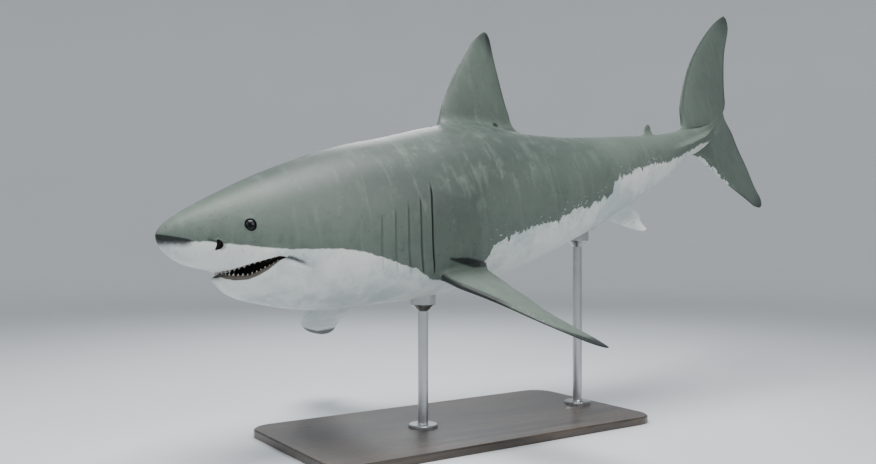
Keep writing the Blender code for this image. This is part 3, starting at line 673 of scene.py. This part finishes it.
def eyeOutline(theta):
    f, tilt = eyeForm, math.radians(eyeForm["tilt"])
    return tilted(f["halfWide"] * np.cos(theta - tilt), f["halfTall"] * np.sin(theta - tilt), tilt)


def onBall(a, b):
    return np.sqrt(np.maximum(eyeForm["ball"] ** 2 - a**2 - b**2, 1e-8)) - eyeForm["sunk"]


def eyeHeights(theta):
    # a low brow over the eye and a thin raised rim, which then rests on the ball
    a, b = eyeOutline(theta)
    upper = .5 + .5 * np.sin(theta)
    return [.0003 * upper, .0009 * upper, .0015 * upper, .0016 * upper + .0002, .0016 + .0004 * upper,
            onBall(a, b) + .0016, onBall(a, b) + .0007]


def eyeInner(theta, ca, cb):
    # half way to the socket the skin lies on the ball, then it goes round behind it
    away = np.hypot(ca, cb)
    first = away * .5 + .0127
    return [(ca / away * r, cb / away * r, depth + 0 * theta, 1.0)
            for r, depth in ((first, -(onBall(first, 0) + .0011)), *eyeForm["socket"])]


def nostrilOutline(theta):
    # an upright ellipse, tilted and bowed like a comma
    f = nostrilForm
    a, b = f["halfWide"] * np.cos(theta), f["halfTall"] * np.sin(theta)
    return tilted(a - f["curve"] * b**2, b, math.radians(f["tilt"]))


def nostrilHeights(theta):
    # the front edge stands up as a flap, the rear edge as a low rim
    front = .5 - .5 * np.cos(theta)
    return [0 * front, .0004 * front, .0011 * front + .0002, .0021 * front + .0005, .0026 * front + .0005,
            .0020 * front - .0002]


def nostrilInner(theta, ca, cb):
    return [(ca * k, cb * k, d + 0 * theta, 1.0) for k, d in nostrilForm["inside"]]


eyeSeats = {}
for right in (False, True):
    eyeSeats[right] = openSkin(right, eyeForm["place"], eyeForm["angle"], 9, 8, eyeOutline,
                               (.3, .55, .74, .87, .95, .985, 1.0), eyeHeights, eyeInner, .9)
    openSkin(right, nostrilForm["place"], nostrilForm["angle"], 6, 8, nostrilOutline,
             (.35, .62, .8, .91, .97, 1.0), nostrilHeights, nostrilInner, 1.0)

skinQuads.append(np.stack(corners, -1)[whole])
end = ids[-1]
half = np.arange(0, backColumn)
skinQuads.append(np.stack([end[half], end[half + 1], end[(-half - 1) % columns], end[(-half) % columns]], -1))


def compact(points, quads, *more):
    # leaves out the points that no quad has, and numbers the others anew
    used = np.unique(quads)
    renumber = np.zeros(len(points), int)
    renumber[used] = np.arange(len(used))
    return (points[used], renumber[quads], *[m[used] for m in more])


skinData = {key: np.concatenate([b[key] for b in skinBlocks]) for key in ("place", "world") + markNames}
_, quads, *kept = compact(skinData["world"], np.concatenate(skinQuads), *skinData.values())
skinData = dict(zip(skinData, kept))


def relaxed(points, quads, weight, steps):
    # each point moves part of the way to the mean of its neighbours, again and again
    pairs = np.concatenate([quads[:, [k, (k + 1) % 4]] for k in range(4)])
    pairs = np.unique(np.sort(pairs[pairs[:, 0] != pairs[:, 1]], 1), axis=0)
    moving = weight > 0
    pairs = pairs[moving[pairs].any(1)]
    both = np.concatenate([pairs, pairs[:, ::-1]])
    count = np.maximum(np.bincount(both[:, 0], minlength=len(points)), 1)
    for _ in range(steps):
        sums = np.stack([np.bincount(both[:, 0], points[both[:, 1], k], len(points)) for k in range(3)], 1)
        points = points + (sums / count[:, None] - points) * (weight * .5)[:, None]
    return points


skinData["world"] = relaxed(skinData["world"], quads, skinData["relax"], skinGrid["filletSteps"])


def makeMesh(name, points, quads, attributes=(), smoothed=True):
    # quads whose neighbouring corners are one point become triangles; all faces are turned outwards
    same = quads == np.roll(quads, -1, 1)
    triangles = [np.delete(quads[same[:, k] & (same.sum(1) == 1)], k, 1) for k in range(4)]
    mesh = bpy.data.meshes.new(name)
    mesh.from_pydata(points.tolist(), [], quads[~same.any(1)].tolist() + np.concatenate(triangles).tolist())
    mesh.validate()
    for key, values in dict(attributes).items():
        kind, field = ("FLOAT_VECTOR", "vector") if values.ndim == 2 else ("FLOAT", "value")
        mesh.attributes.new(key, kind, "POINT").data.foreach_set(field, values.astype(np.float32).ravel())
    shape = bmesh.new()
    shape.from_mesh(mesh)
    bmesh.ops.recalc_face_normals(shape, faces=shape.faces)
    loose = [e for e in shape.edges if len(e.link_faces) != 2]
    print(name, len(shape.verts), "points,", len(shape.faces), "faces, volume",
          round(shape.calc_volume(), 5), ", open edges", len(loose))
    shape.to_mesh(mesh)
    shape.free()
    if smoothed:
        mesh.shade_smooth()
    ob = bpy.data.objects.new(name, mesh)
    bpy.context.scene.collection.objects.link(ob)
    return ob


# where the colours lie: worked out on the straight fish, in hundredths of its length

markings = dict(
    # the border of grey and white on the flanks: place and height
    border=[(0, -.45), (2.5, -.81), (3.6, -.91), (5.1, -1.22), (7.7, -1.73), (11.1, -2.3), (16, -2.63),
            (18.9, -3.33), (22.2, -4.73), (25.2, -6.1), (27, -7.3), (30, -7.5), (32.6, -7.2), (33.9, -6.3),
            (34.9, -4.9), (37.9, -4.2), (42.5, -3.75), (45, -3.69), (48.8, -2.86), (52.2, -2.79),
            (56.3, -2.6), (56.9, -1.15), (58.4, -.38), (62.1, -.2), (68.4, -.39), (74.8, -.98), (78.2, -.84),
            (83, -.75), (88, -1.3), (93, -2.0)],
    nostrilLine=[(3.75, -.72), (4.1, -.86), (4.45, -1.05)],
    # the black patch behind the pectoral fins: place and height; place and half its breadth
    patch=[(28.7, -5.3), (31.2, -6.0), (33.7, -7.0)], patchWidth=[(28.7, .10), (31.0, .42), (33.7, .55)],
)


def bodyMarks(d):
    # pale: hundredths below the border; dark: fin tips, edges, blotches and painted shade; rag: how ragged
    # the border is
    x, y, z = (d["place"] * 100).T
    border = np.array(markings["border"], float)
    t, u = d["share"], d["edge"]

    def on(*names):
        return np.isin(d["kind"], [finKinds[name] for name in names])

    def awayFrom(place, angle):
        # distance from a point on the head, on either side
        c = section(np.array(place), np.radians(angle)) * 100
        return np.sqrt((x - c[0]) ** 2 + (np.abs(y) - c[1]) ** 2 + (z - c[2]) ** 2)

    pale = bodyPale = np.interp(x, border[:, 0], border[:, 1]) - z
    rag = .12 + .5 * smooth(x, 30, 36) + .2 * smooth(x, 16, 24) - .3 * smooth(x, 70, 80)
    # a dark wedge over the border from the snout's tip, and a dark line that runs on into the nostril
    thick = .55 * (1 - np.clip(x / 3.4, 0, 1))
    dark = .95 * (1 - smooth(x, 1.9, 3.1)) * (1 - smooth(pale, -.3, 1.1))
    dark = dark * smooth(pale, -thick - .15, -thick + .08)
    dark = np.maximum(dark, .7 * np.exp(-(toLine(x, z, markings["nostrilLine"]) / .09) ** 2) * (x < 5))
    # painted shade in the hollow round the nostril, reaching a little behind it
    ring = awayFrom(nostrilForm["place"] + .0015, nostrilForm["angle"] - 1)
    dark = np.maximum(dark, .5 * np.exp(-(ring / .5) ** 4))
    # painted shade on the lids round the eye
    ring = awayFrom(eyeForm["place"], eyeForm["angle"])
    dark = np.maximum(dark, .45 * np.exp(-(ring / .66) ** 8))
    away = toLine(x, z, markings["patch"]) / np.interp(x, *np.array(markings["patchWidth"]).T)
    dark = np.maximum(dark, .95 * np.exp(-away**4) * (d["kind"] == 0))
    # painted shade in the gill slits, the furrow and on the eye's and nostril's rims
    dark = np.maximum(dark, d["fold"])
    rim = 1 - smooth(np.minimum(u, 1 - u), 0, .11)
    fin = on("dorsal")
    root = np.maximum(bodyPale, -6)
    pale = np.where(fin, root + (-4 - root) * smooth(t, 0, .4), pale)
    tipShade = np.maximum(.55 * smooth(t, .55, 1) + .3 * smooth(u, .55, .95), .5 * rim)
    dark = np.where(fin, tipShade * smooth(t, .1, .4), dark)
    fin = on("caudalUpper", "caudalLower")
    streak = (1 - smooth(u, .02, .2)) * smooth(t, 0, .08) * (1 - smooth(t, .5, .8)) * on("caudalLower")
    pale = np.where(fin, -3.2 + 3.5 * streak, pale)
    dark = np.where(fin, np.maximum(.5 * rim * (1 - streak), .5 * smooth(t, .7, 1.0)), dark)
    rag = np.where(fin, .5 + .7 * (streak > .02), rag)
    pale = np.where(on("secondDorsal"), -1.4 + 1.1 * smooth(u, .2, .8), pale)
    pale = np.where(on("anal"), 1.2, pale)
    fin = on("pectoralLeft")  # and the right one, which has the same number
    below = d["under"] < 0
    tip = smooth(t + .10 * (1 - np.minimum(u * 3, 1)), .80, .93)
    # rear: painted highlight, a paler strip along the upper side's trailing edge
    rear = smooth(u, .955, .99) * smooth(t, .08, .25) * (1 - smooth(t, .9, 1))
    flecks = (1 - smooth(u, .05, .2)) * smooth(t, .34, .5) * (1 - smooth(t, .66, .82))
    above = np.maximum(.75 * (1 - smooth(u, .02, .16)) * (1 - .5 * flecks), .8 * tip)
    front = (1 - smooth(u, .02, .06)) * np.where(y > 0, 1, .2)
    palePlane = np.where(below, 1.6 - 3.6 * front - 2.6 * tip, -2.4 + 2.2 * rear + 1.7 * flecks)
    pale = np.where(fin, palePlane, pale)
    dark = np.where(fin, np.where(below, np.maximum(tip, .8 * front), above), dark)
    rag = np.where(fin, .7 + 1.3 * flecks, rag)
    fin = on("pelvicLeft")
    shadeHere = np.exp(-((u - .5) / .3) ** 2 - ((t - .35) / .35) ** 2)
    pale = np.where(fin, 1.3 - .9 * shadeHere, pale)
    dark = np.where(fin, np.maximum(.2 * shadeHere, .3 * smooth(u, .75, .98) * smooth(t, .3, .7)), dark)
    rag = np.where(fin, .6, rag)
    return dict(pale=pale, dark=np.clip(dark, 0, 1), rag=rag)


skinData.update(bodyMarks(skinData))
keptMarks = {k: skinData[k] for k in ("lining", "pale", "dark", "rag")}
keptMarks["place"] = skinData["place"] * total
skin = makeMesh("shark_skin", skinData["world"], quads, keptMarks)
skinNodes = [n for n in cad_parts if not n.startswith(("eye_", "stand_"))]
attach(skin, "root")
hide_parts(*skinNodes)


# eyes: a domed front closed behind, turned round the line that leaves the socket

def turned(profile, turns=64):
    # a half outline (radius, height) carried round an axis; it starts on the axis, and ends there or open
    a = np.arange(turns) * 2 * math.pi / turns
    r, h = np.array(profile, float).T
    rows = np.stack([r[:, None] * np.cos(a), r[:, None] * np.sin(a), h[:, None] + 0 * a], -1)
    ids = np.arange(len(r) * turns).reshape(len(r), turns)
    ids[0] = ids[0, 0]
    if r[-1] == 0:
        ids[-1] = ids[-1, 0]
    after = np.roll(ids, -1, 1)
    quads = np.stack([ids[:-1], ids[1:], after[1:], after[:-1]], -1).reshape(-1, 4)
    return rows.reshape(-1, 3), quads


eyes = []
for right, word in ((False, "left"), (True, "right")):
    seat, out, back = eyeSeats[right]
    bend = np.radians(np.linspace(0, 53, 30))
    outline = [(eyeForm["ball"] * math.sin(b), eyeForm["ball"] * math.cos(b) - eyeForm["sunk"]) for b in bend]
    points, faces = compact(*turned([*outline, *eyeForm["behind"]]))
    up = np.cross(out, back)
    back = np.cross(up, out)
    place = seat + points @ np.stack([back, up, out])
    eye = makeMesh("eye_" + word + "_ball", place, faces, dict(seat=points))
    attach(eye, "root")
    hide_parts("eye_" + word)
    eyes.append(eye)


# teeth: flat blades with a thick root, standing along the gums

teethForm = dict(
    # metres; the count is for each side, up is the way they point
    upper=dict(count=13, height=.0140, width=.0190, thick=.0050, lean=-.02, bow=.0008, up=-1, saw=.0004),
    lower=dict(count=15, height=.0140, width=.0120, thick=.0046, lean=.02, bow=.0010, up=1, saw=.00025),
    reach=.90,  # how far round the gum, of the way to the corner
    sunk=.004, smaller=.52,  # how deep the root stands; how much a corner tooth falls short
)


def toothBlade(form, size):
    # half width falls from root to tip as (1 - v) to a power near one, with a saw edge; the root is straight
    v = np.concatenate([[0, .03], np.linspace(.1, 1, 19)])[:, None]
    a = (np.arange(14) * 2 * math.pi / 14)[None, :]
    body = np.clip((v - .1) / .9, 0, 1)
    wide = form["width"] / 2 * np.where(v < .1, .86 + 1.4 * v, (1 - body) ** .92) * (1 + 0 * a)
    saw = form["saw"] * np.where((np.arange(len(v)) % 2)[:, None] == 1, 1.0, -1.0) * (v > .12) * (v < .97)
    wide = wide + saw * np.abs(np.cos(a)) ** 6
    thick = form["thick"] / 2 * (1 - .86 * v**.8)
    x = wide * np.cos(a)
    y = thick * np.sign(np.sin(a)) * np.abs(np.sin(a)) ** .8 + form["bow"] * np.sin(v * math.pi)
    z = form["height"] * v + 0 * a
    p = np.stack([x, y, z], -1) * size
    ids = np.arange(p.shape[0] * p.shape[1]).reshape(p.shape[:2])
    ids[-1] = ids[-1, 0]
    after = np.roll(ids, -1, 1)
    quads = np.stack([ids[:-1], after[:-1], after[1:], ids[1:]], -1).reshape(-1, 4)
    cap = np.stack([ids[0, :6], ids[0, 1:7], ids[0, -2:-8:-1], ids[0, -1:-7:-1]], -1)
    return p.reshape(-1, 3), np.concatenate([quads, cap[:, ::-1]]), np.repeat(v[:, 0], p.shape[1])


def standTeeth(name, form, gum, lip):
    # even shares of the gum's length, smaller towards the corners; roots stand in the gum, blades lean out
    run = np.concatenate([[0], np.cumsum(np.linalg.norm(np.diff(gum, axis=0), axis=1))])
    middle, points, faces, heights, base = run[-1] / 2, [], [], [], 0
    for sideWay in (-1, 1):
        for k in range(form["count"]):
            share = (k + .5) / form["count"]
            at = middle + sideWay * (middle * teethForm["reach"]) * share
            read = lambda table, x: np.array([np.interp(x, run, table[:, c]) for c in range(3)])
            p, along = read(gum, at), unit(read(gum, at + .002) - read(gum, at - .002))
            out = unit(read(lip, at) - p)
            rise = np.array([0, math.sin(math.radians(12)), 1.0]) * form["up"]
            rise = unit(rise - along * (rise @ along) * .6)
            rise = unit(rise + form["lean"] * out + along * sideWay * .10)
            across = unit(along - rise * (along @ rise))
            size = (1 - teethForm["smaller"] * share**1.3) * (1 + .06 * math.sin(k * 2.4))
            blade, bladeQuads, v = toothBlade(form, size)
            place = p - rise * teethForm["sunk"] + blade @ np.stack([across, np.cross(rise, across), rise])
            world, bladeQuads, v = compact(place, bladeQuads, v)
            points.append(world)
            faces.append(bladeQuads + base)
            heights.append(v)
            base += len(world)
    teeth = makeMesh(name, np.concatenate(points), np.concatenate(faces), dict(rise=np.concatenate(heights)))
    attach(teeth, "root")
    return teeth


upperTeeth = standTeeth("teeth_upper", teethForm["upper"], bent(upRows[4]), bent(upLip))
lowerTeeth = standTeeth("teeth_lower", teethForm["lower"], bent(lowRows[5]), bent(lowLip))
print("teeth and eyes made")


# a round floor and the wall about it, one sheet with a wide curve between

studio = dict(flat=8.5, bend=3.5, wallTop=7.5, turns=96)


def makeFloor():
    # a profile (radius, height) of floor, quarter circle and wall, carried round the middle
    a = np.linspace(0, math.pi / 2, 24)
    flat, bend, turns = studio["flat"], studio["bend"], studio["turns"]
    r = np.concatenate([[0, 1, 3, 5, 7], flat + bend * np.sin(a), [flat + bend]])
    z = np.concatenate([np.zeros(5), bend - bend * np.cos(a), [studio["wallTop"]]])
    points, quads = compact(*turned(np.stack([r, z], 1), turns))
    mesh = bpy.data.meshes.new("floor")
    mesh.from_pydata(points.tolist(), [], quads[:turns, :3].tolist() + quads[turns:].tolist())
    mesh.shade_smooth()
    floor = bpy.data.objects.new("floor", mesh)
    bpy.context.scene.collection.objects.link(floor)
    return floor


floor = makeFloor()


# camera and light

view = dict(azimuth=56.1, distance=3.626, target=(0, -.101, .826), lens=35.92)
camera = bpy.data.objects.new("camera", bpy.data.cameras.new("camera"))
bpy.context.scene.collection.objects.link(camera)
azimuth = math.radians(view["azimuth"])
toCamera = np.array([math.sin(azimuth), -math.cos(azimuth), 0])
camera.location = np.array(view["target"]) + view["distance"] * toCamera
camera.rotation_euler = (math.radians(90), 0, azimuth)
camera.data.lens, camera.data.sensor_width = view["lens"], 36.0
bpy.context.scene.camera = camera

lamps = dict(
    # azimuth and height angle that it stands at, distance, size, watts, colour
    top=(30, 76, 4.0, 2.6, 430, (1.0, 1.0, 1.0)),
    side=(95, 34, 4.6, 2.4, 110, (1.0, .985, .96)),
    front=(10, 28, 5.0, 2.6, 60, (.95, .98, 1.0)),
    back=(-120, 35, 4.6, 2.0, 110, (.95, .98, 1.0)),
)
lampsAim = (0, -.1, .9)
sky = dict(colour=(.80, .84, .88), strength=.22)
for name, (turn, rise, far, size, watts, colour) in lamps.items():
    light = bpy.data.lights.new(name, "AREA")
    light.size, light.energy, light.color = size, watts, colour
    lamp = bpy.data.objects.new(name, light)
    lamp.visible_camera = False
    bpy.context.scene.collection.objects.link(lamp)
    a, e = math.radians(turn), math.radians(rise)
    way = np.array([math.sin(a) * math.cos(e), -math.cos(a) * math.cos(e), math.sin(e)])
    lamp.location = np.array(lampsAim) + far * way
    lamp.rotation_euler = (math.radians(90 - rise), 0, a)
world = bpy.data.worlds.new("studio")
bpy.context.scene.world = world
world.use_nodes = True
background = world.node_tree.nodes["Background"]
background.inputs["Color"].default_value = (*sky["colour"], 1)
background.inputs["Strength"].default_value = sky["strength"]
print("studio set")


# materials: sums of sockets become Math nodes; colours go through Mix nodes

class Link:
    def __init__(self, tree, socket):
        self.tree, self.socket = tree, socket

    def math(self, operation, other, flip=False):
        a, b = (other, self) if flip else (self, other)
        return self.tree.node("ShaderNodeMath", dict(operation=operation), {0: a, 1: b})

    def __add__(self, other): return self.math("ADD", other)
    def __radd__(self, other): return self.math("ADD", other, True)
    def __sub__(self, other): return self.math("SUBTRACT", other)
    def __rsub__(self, other): return self.math("SUBTRACT", other, True)
    def __mul__(self, other): return self.math("MULTIPLY", other)
    def __pow__(self, other): return self.math("POWER", other)


class Finish:
    # a material with one Principled shader; fixed values are set on its sockets, links are fed to them
    def __init__(self, name, **fixed):
        self.material = bpy.data.materials.new(name)
        self.material.use_nodes = True
        self.nodes, self.links = self.material.node_tree.nodes, self.material.node_tree.links
        self.shader = self.nodes["Principled BSDF"]
        for socket, value in fixed.items():
            self.shader.inputs[socket.replace("_", " ")].default_value = value

    def node(self, kind, settings=None, inputs=None, output=0):
        n = self.nodes.new(kind)
        for key, value in (settings or {}).items():
            if key == "stops":
                while len(n.color_ramp.elements) < len(value):
                    n.color_ramp.elements.new(.5)
                for element, (at, colour) in zip(n.color_ramp.elements, value):
                    element.position, element.color = at, (*colour, 1)
            else:
                setattr(n, key, value)
        for key, value in (inputs or {}).items():
            if isinstance(value, Link):
                self.links.new(value.socket, n.inputs[key])
            else:
                n.inputs[key].default_value = value
        return Link(self, n.outputs[output])

    def feed(self, socket, link):
        self.links.new(link.socket, self.shader.inputs[socket])

    def read(self, name, output="Fac"):
        return self.node("ShaderNodeAttribute", dict(attribute_name=name), output=output)

    def place(self):
        return self.node("ShaderNodeTexCoord", output="Object")

    def parts(self, where):
        # a vector's three components
        split = self.node("ShaderNodeSeparateXYZ", {}, dict(Vector=where)).socket.node
        return [Link(self, output) for output in split.outputs]

    def noise(self, where, scale, detail=4.0, rough=.55, warp=0.0):
        inputs = dict(Vector=where, Scale=scale, Detail=detail, Roughness=rough, Distortion=warp)
        return self.node("ShaderNodeTexNoise", {}, inputs, "Fac")

    def step(self, value, a, b):
        # 0 below a, 1 above b, smooth between; a may be the larger
        flip = a > b
        out = self.node("ShaderNodeMapRange", dict(interpolation_type="SMOOTHSTEP"),
                        {"Value": value, "From Min": min(a, b), "From Max": max(a, b)})
        return 1 - out if flip else out

    def mix(self, share, a, b):
        a, b = [c if isinstance(c, Link) else (*c, 1) for c in (a, b)]
        return self.node("ShaderNodeMix", dict(data_type="RGBA"), {0: share, 6: a, 7: b}, 2)

    def stretch(self, where, scale):
        return self.node("ShaderNodeMapping", {}, {"Vector": where, "Scale": scale})

    def bump(self, height, strength, distance, under=None):
        inputs = {"Height": height, "Strength": strength, "Distance": distance}
        if under is not None:
            inputs["Normal"] = under
        return self.node("ShaderNodeBump", {}, inputs)

    def wear(self, *pieces):
        for piece in pieces:
            piece.data.materials.clear()
            piece.data.materials.append(self.material)


def tint(r, g, b):
    # a screen colour, 0 to 255, as the linear values a shader takes
    c = np.array([r, g, b]) / 255
    return tuple(np.where(c <= .04045, c / 12.92, ((c + .055) / 1.055) ** 2.4).tolist())


skinLook = dict(
    # the throat's near black stands for painted shade deep inside the mouth and in the nostrils' pits
    back=tint(60, 69, 65), flank=tint(90, 101, 94), mottle=tint(72, 82, 77), streakLight=tint(112, 124, 116),
    speck=tint(118, 130, 121), darkSpeck=tint(42, 50, 48), white=tint(208, 212, 208),
    whiteShade=tint(176, 186, 186), black=tint(26, 30, 31), gum=tint(92, 86, 80), throat=tint(28, 20, 19),
    # how fine each pattern is, about so many marks a metre; the bands, painted streaks of light, and the
    # border's teeth stand upright
    cloudSize=2.6, blotSize=13.0, speckSize=60.0, fleckSize=85.0, spotSize=95.0, poreSize=190.0,
    roughSize=240.0, grainSize=850.0, bands=(26.0, 5.0, 5.0), teeth=(40.0, 16.0, 16.0),
    pored=(.34, .20),  # the snout's pores fade between these places, metres
    # single black spots on the left flank: place along, height and radius, metres
    spots=((1.526, .3115, .017), (1.474, .294, .0095), (1.435, .2835, .0075)),
)


def makeSkinFinish():
    f, look = Finish("sharkSkin", IOR=1.42, Specular_IOR_Level=.34), skinLook
    where = f.read("place", "Vector")
    along, side, height = f.parts(where)
    pale, dark, lining, rag = [f.read(k) for k in ("pale", "dark", "lining", "rag")]
    clouds = f.noise(where, look["cloudSize"], 5.0, .6)
    blots = f.noise(where, look["blotSize"], 6.0, .62, .4)
    specks = f.noise(where, look["speckSize"], 5.0, .65)
    grain = f.noise(where, look["grainSize"], 2.0, .5)
    streaks = f.noise(f.stretch(where, look["bands"]), 1.0, 4.0, .6, .3)
    # grey: paler low on the flank, darker on the back, broken up by clouds, blots and bands; the bands, here
    # and in the pale mix below, are painted streaks of light
    rise = f.step(pale * -1.0 + (clouds - .5) * 5.0 + (streaks - .5) * 3.0, .2, 9.5)
    grey = f.mix(rise, look["flank"], look["back"])
    grey = f.mix(f.step(blots, .44, .70) * .55, grey, look["mottle"])
    # painted streaks of light: pale upright bands over the grey
    grey = f.mix(f.step(streaks + (blots - .5) * .35, .50, .72) * .25, grey, look["streakLight"])
    grey = f.mix(f.step(specks + (blots - .5) * .5, .58, .76) * .2, grey, look["speck"])
    grey = f.mix(f.step(specks, .42, .30) * .35, grey, look["darkSpeck"])
    # the border wanders with the noise, and sheds flecks both ways
    saw = f.noise(f.stretch(where, look["teeth"]), 1.0, 4.0, .6)
    border = pale + rag * ((blots - .5) * 2.2 + (saw - .5) * 2.2 + (specks - .5) * 1.1)
    whiteness = f.step(border, -.07, .10)
    fleckField = f.noise(where, look["fleckSize"], 3.0, .5)
    near = f.step(pale, -2.4, -.3) * f.step(rag, .3, .6)
    whiteness = whiteness.math("MAXIMUM", near * f.step(fleckField, .66, .69) * .7)
    spotField = f.noise(where, look["spotSize"], 3.0, .5)
    spots = f.step(pale, 2.2, .2) * f.step(rag, .3, .6) * f.step(spotField, .64, .67)
    whiteness = whiteness * (1 - spots * .75)
    white = f.mix(f.step(clouds + (blots - .5) * .6, .40, .70), look["white"], look["whiteShade"])
    white = f.mix(f.step(specks, .58, .75) * .25, white, look["flank"])
    colour = f.mix(whiteness, grey, white)
    colour = f.mix(f.step(dark * (.72 + specks * .56), .12, .78) * .93, colour, look["black"])
    for x, z, size in look["spots"]:
        away = ((along - x) ** 2.0 + (height - z) ** 2.0) ** .5 + (specks - .5) * .012
        colour = f.mix(f.step(away, size, size * .7) * f.step(side, 0, .01) * .9, colour, look["black"])
    # pores on the snout
    cells = dict(Vector=where, Scale=look["poreSize"], Randomness=.85)
    pores = f.node("ShaderNodeTexVoronoi", {}, cells, "Distance")
    snout = f.step(along, *look["pored"]) * f.step(f.noise(where, 22.0, 2.0, .5), .46, .56)
    pore = f.step(pores, .26, .14) * snout
    colour = f.mix(pore * .55, colour, look["black"])
    # painted shade inside the mouth: the lining goes from the gum's colour to the throat's near black deeper
    # in
    inside = f.mix(f.step(lining, .45, .95), look["gum"], look["throat"])
    colour = f.mix(f.step(lining, .10, .42), colour, inside)
    f.feed("Base Color", colour)
    f.feed("Roughness", .46 + (blots - .5) * .16 + (specks - .5) * .2 + f.step(lining, .2, .5) * .06)
    skinGrain = grain * .35 + f.noise(where, look["roughSize"], 3.0, .55) * .4 + specks * .5 - pore * .6
    fine = f.bump(skinGrain, .35, .0016)
    f.feed("Normal", f.bump(blots * .6 + streaks * .8, .25, .004, fine))
    return f


skinFinish = makeSkinFinish()
skinFinish.wear(skin)


eyeLook = dict(
    dark=tint(6, 6, 8), iris=tint(24, 26, 31),
    inner=(7.2, 8.4), outer=(14.6, 12.6),  # where the iris begins and ends, millimetres from the middle
)


def makeEyeFinish():
    # near black: a pupil, a dark iris with rays, and a black surround
    f = Finish("eyeGloss", Roughness=.24, IOR=1.38, Specular_IOR_Level=.3)
    where = f.read("seat", "Vector")
    x, y, _ = f.parts(where)
    away = (x * x + y * y) ** .5 * 1000.0
    rays = f.noise(f.stretch(where, (600.0, 600.0, 100.0)), 1.0, 3.0)
    iris = f.step(away, *eyeLook["inner"]) * f.step(away, *eyeLook["outer"])
    f.feed("Base Color", f.mix(iris * (.55 + rays * .45), eyeLook["dark"], eyeLook["iris"]))
    return f


makeEyeFinish().wear(*eyes)


# the enamel's greyed ivory is painted shade of the mouth
toothLook = dict(shadedEnamel=tint(178, 177, 168), root=tint(132, 124, 112), line=tint(188, 180, 160))


def makeToothFinish():
    # ivory dimmed by painted shade, darker at the root, with fine lines up each tooth
    f = Finish("toothEnamel", Roughness=.24, IOR=1.5, Coat_Weight=.25, Coat_Roughness=.1)
    rise, where = f.read("rise"), f.place()
    patches = f.noise(where, 260.0, 3.0)
    lines = f.noise(f.stretch(where, (900.0, 900.0, 60.0)), 1.0, 2.0)
    look = toothLook
    colour = f.mix(f.step(rise + (patches - .5) * .2, .55, .1), look["shadedEnamel"], look["root"])
    colour = f.mix(f.step(lines, .5, .75) * .3, colour, look["line"])
    f.feed("Base Color", colour)
    f.feed("Normal", f.bump(lines, .2, .0004))
    return f


makeToothFinish().wear(upperTeeth, lowerTeeth)


standLook = dict(
    timber=tint(43, 36, 31), timberPale=tint(74, 62, 52), timberPore=tint(24, 20, 18),
    grain=(26.0, 1.3, 26.0), pores=(420.0, 14.0, 420.0),  # how fine, across and along the plate
    steel=tint(172, 174, 176), steelPale=tint(196, 198, 199), brushed=(60.0, 60.0, 2600.0),
)


def makePlateFinish():
    # dark stained timber: grain lines run the plate's length under a satin lacquer
    look = standLook
    f = Finish("plateTimber", IOR=1.5, Coat_Weight=.35, Coat_Roughness=.22)
    where = f.place()
    rows = f.noise(f.stretch(where, look["grain"]), 1.0, 6.0, .6, .8)
    pores = f.noise(f.stretch(where, look["pores"]), 1.0, 3.0, .6)
    colour = f.mix(f.step(rows, .36, .64), look["timber"], look["timberPale"])
    colour = f.mix(f.step(pores, .56, .70) * .5, colour, look["timberPore"])
    f.feed("Base Color", colour)
    f.feed("Roughness", .36 + (rows - .5) * .2 + f.step(pores, .55, .7) * .12)
    f.feed("Normal", f.bump(rows * .3 - f.step(pores, .55, .7) * .5, .3, .0006))
    return f


def makeRodFinish():
    # brushed steel: fine marks round the rod, a little cloudy
    f = Finish("rodSteel", Metallic=1.0)
    where = f.place()
    marks = f.noise(f.stretch(where, standLook["brushed"]), 1.0, 3.0, .6)
    clouds = f.noise(where, 14.0, 4.0)
    f.feed("Base Color", f.mix(clouds, standLook["steel"], standLook["steelPale"]))
    f.feed("Roughness", .24 + marks * .14 + (clouds - .5) * .1)
    f.feed("Normal", f.bump(marks, .16, .0003))
    return f


makePlateFinish().wear(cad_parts["stand_base"])
makeRodFinish().wear(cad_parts["stand_rod_front"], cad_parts["stand_rod_rear"])


floorLook = dict(
    paint=tint(186, 190, 194), pale=tint(195, 199, 202),
    glow=tint(214, 218, 222), glows=(3.5, 10.0),  # where the glow sets in and is full, metres from the middle
)


def makeFloorFinish():
    # pale paint, a little cloudy; the far floor and the wall glow faintly where the lamps don't reach
    f = Finish("paleFloor", Roughness=.62, Emission_Strength=.25)
    where = f.place()
    cloud = f.noise(where, .9, 4.0)
    f.feed("Base Color", f.mix(cloud, floorLook["paint"], floorLook["pale"]))
    x, y, z = f.parts(where)
    away = (x * x + y * y + z * z) ** .5
    f.feed("Emission Color", f.mix(f.step(away, *floorLook["glows"]), (0, 0, 0), floorLook["glow"]))
    return f


makeFloorFinish().wear(floor)
print("materials made")
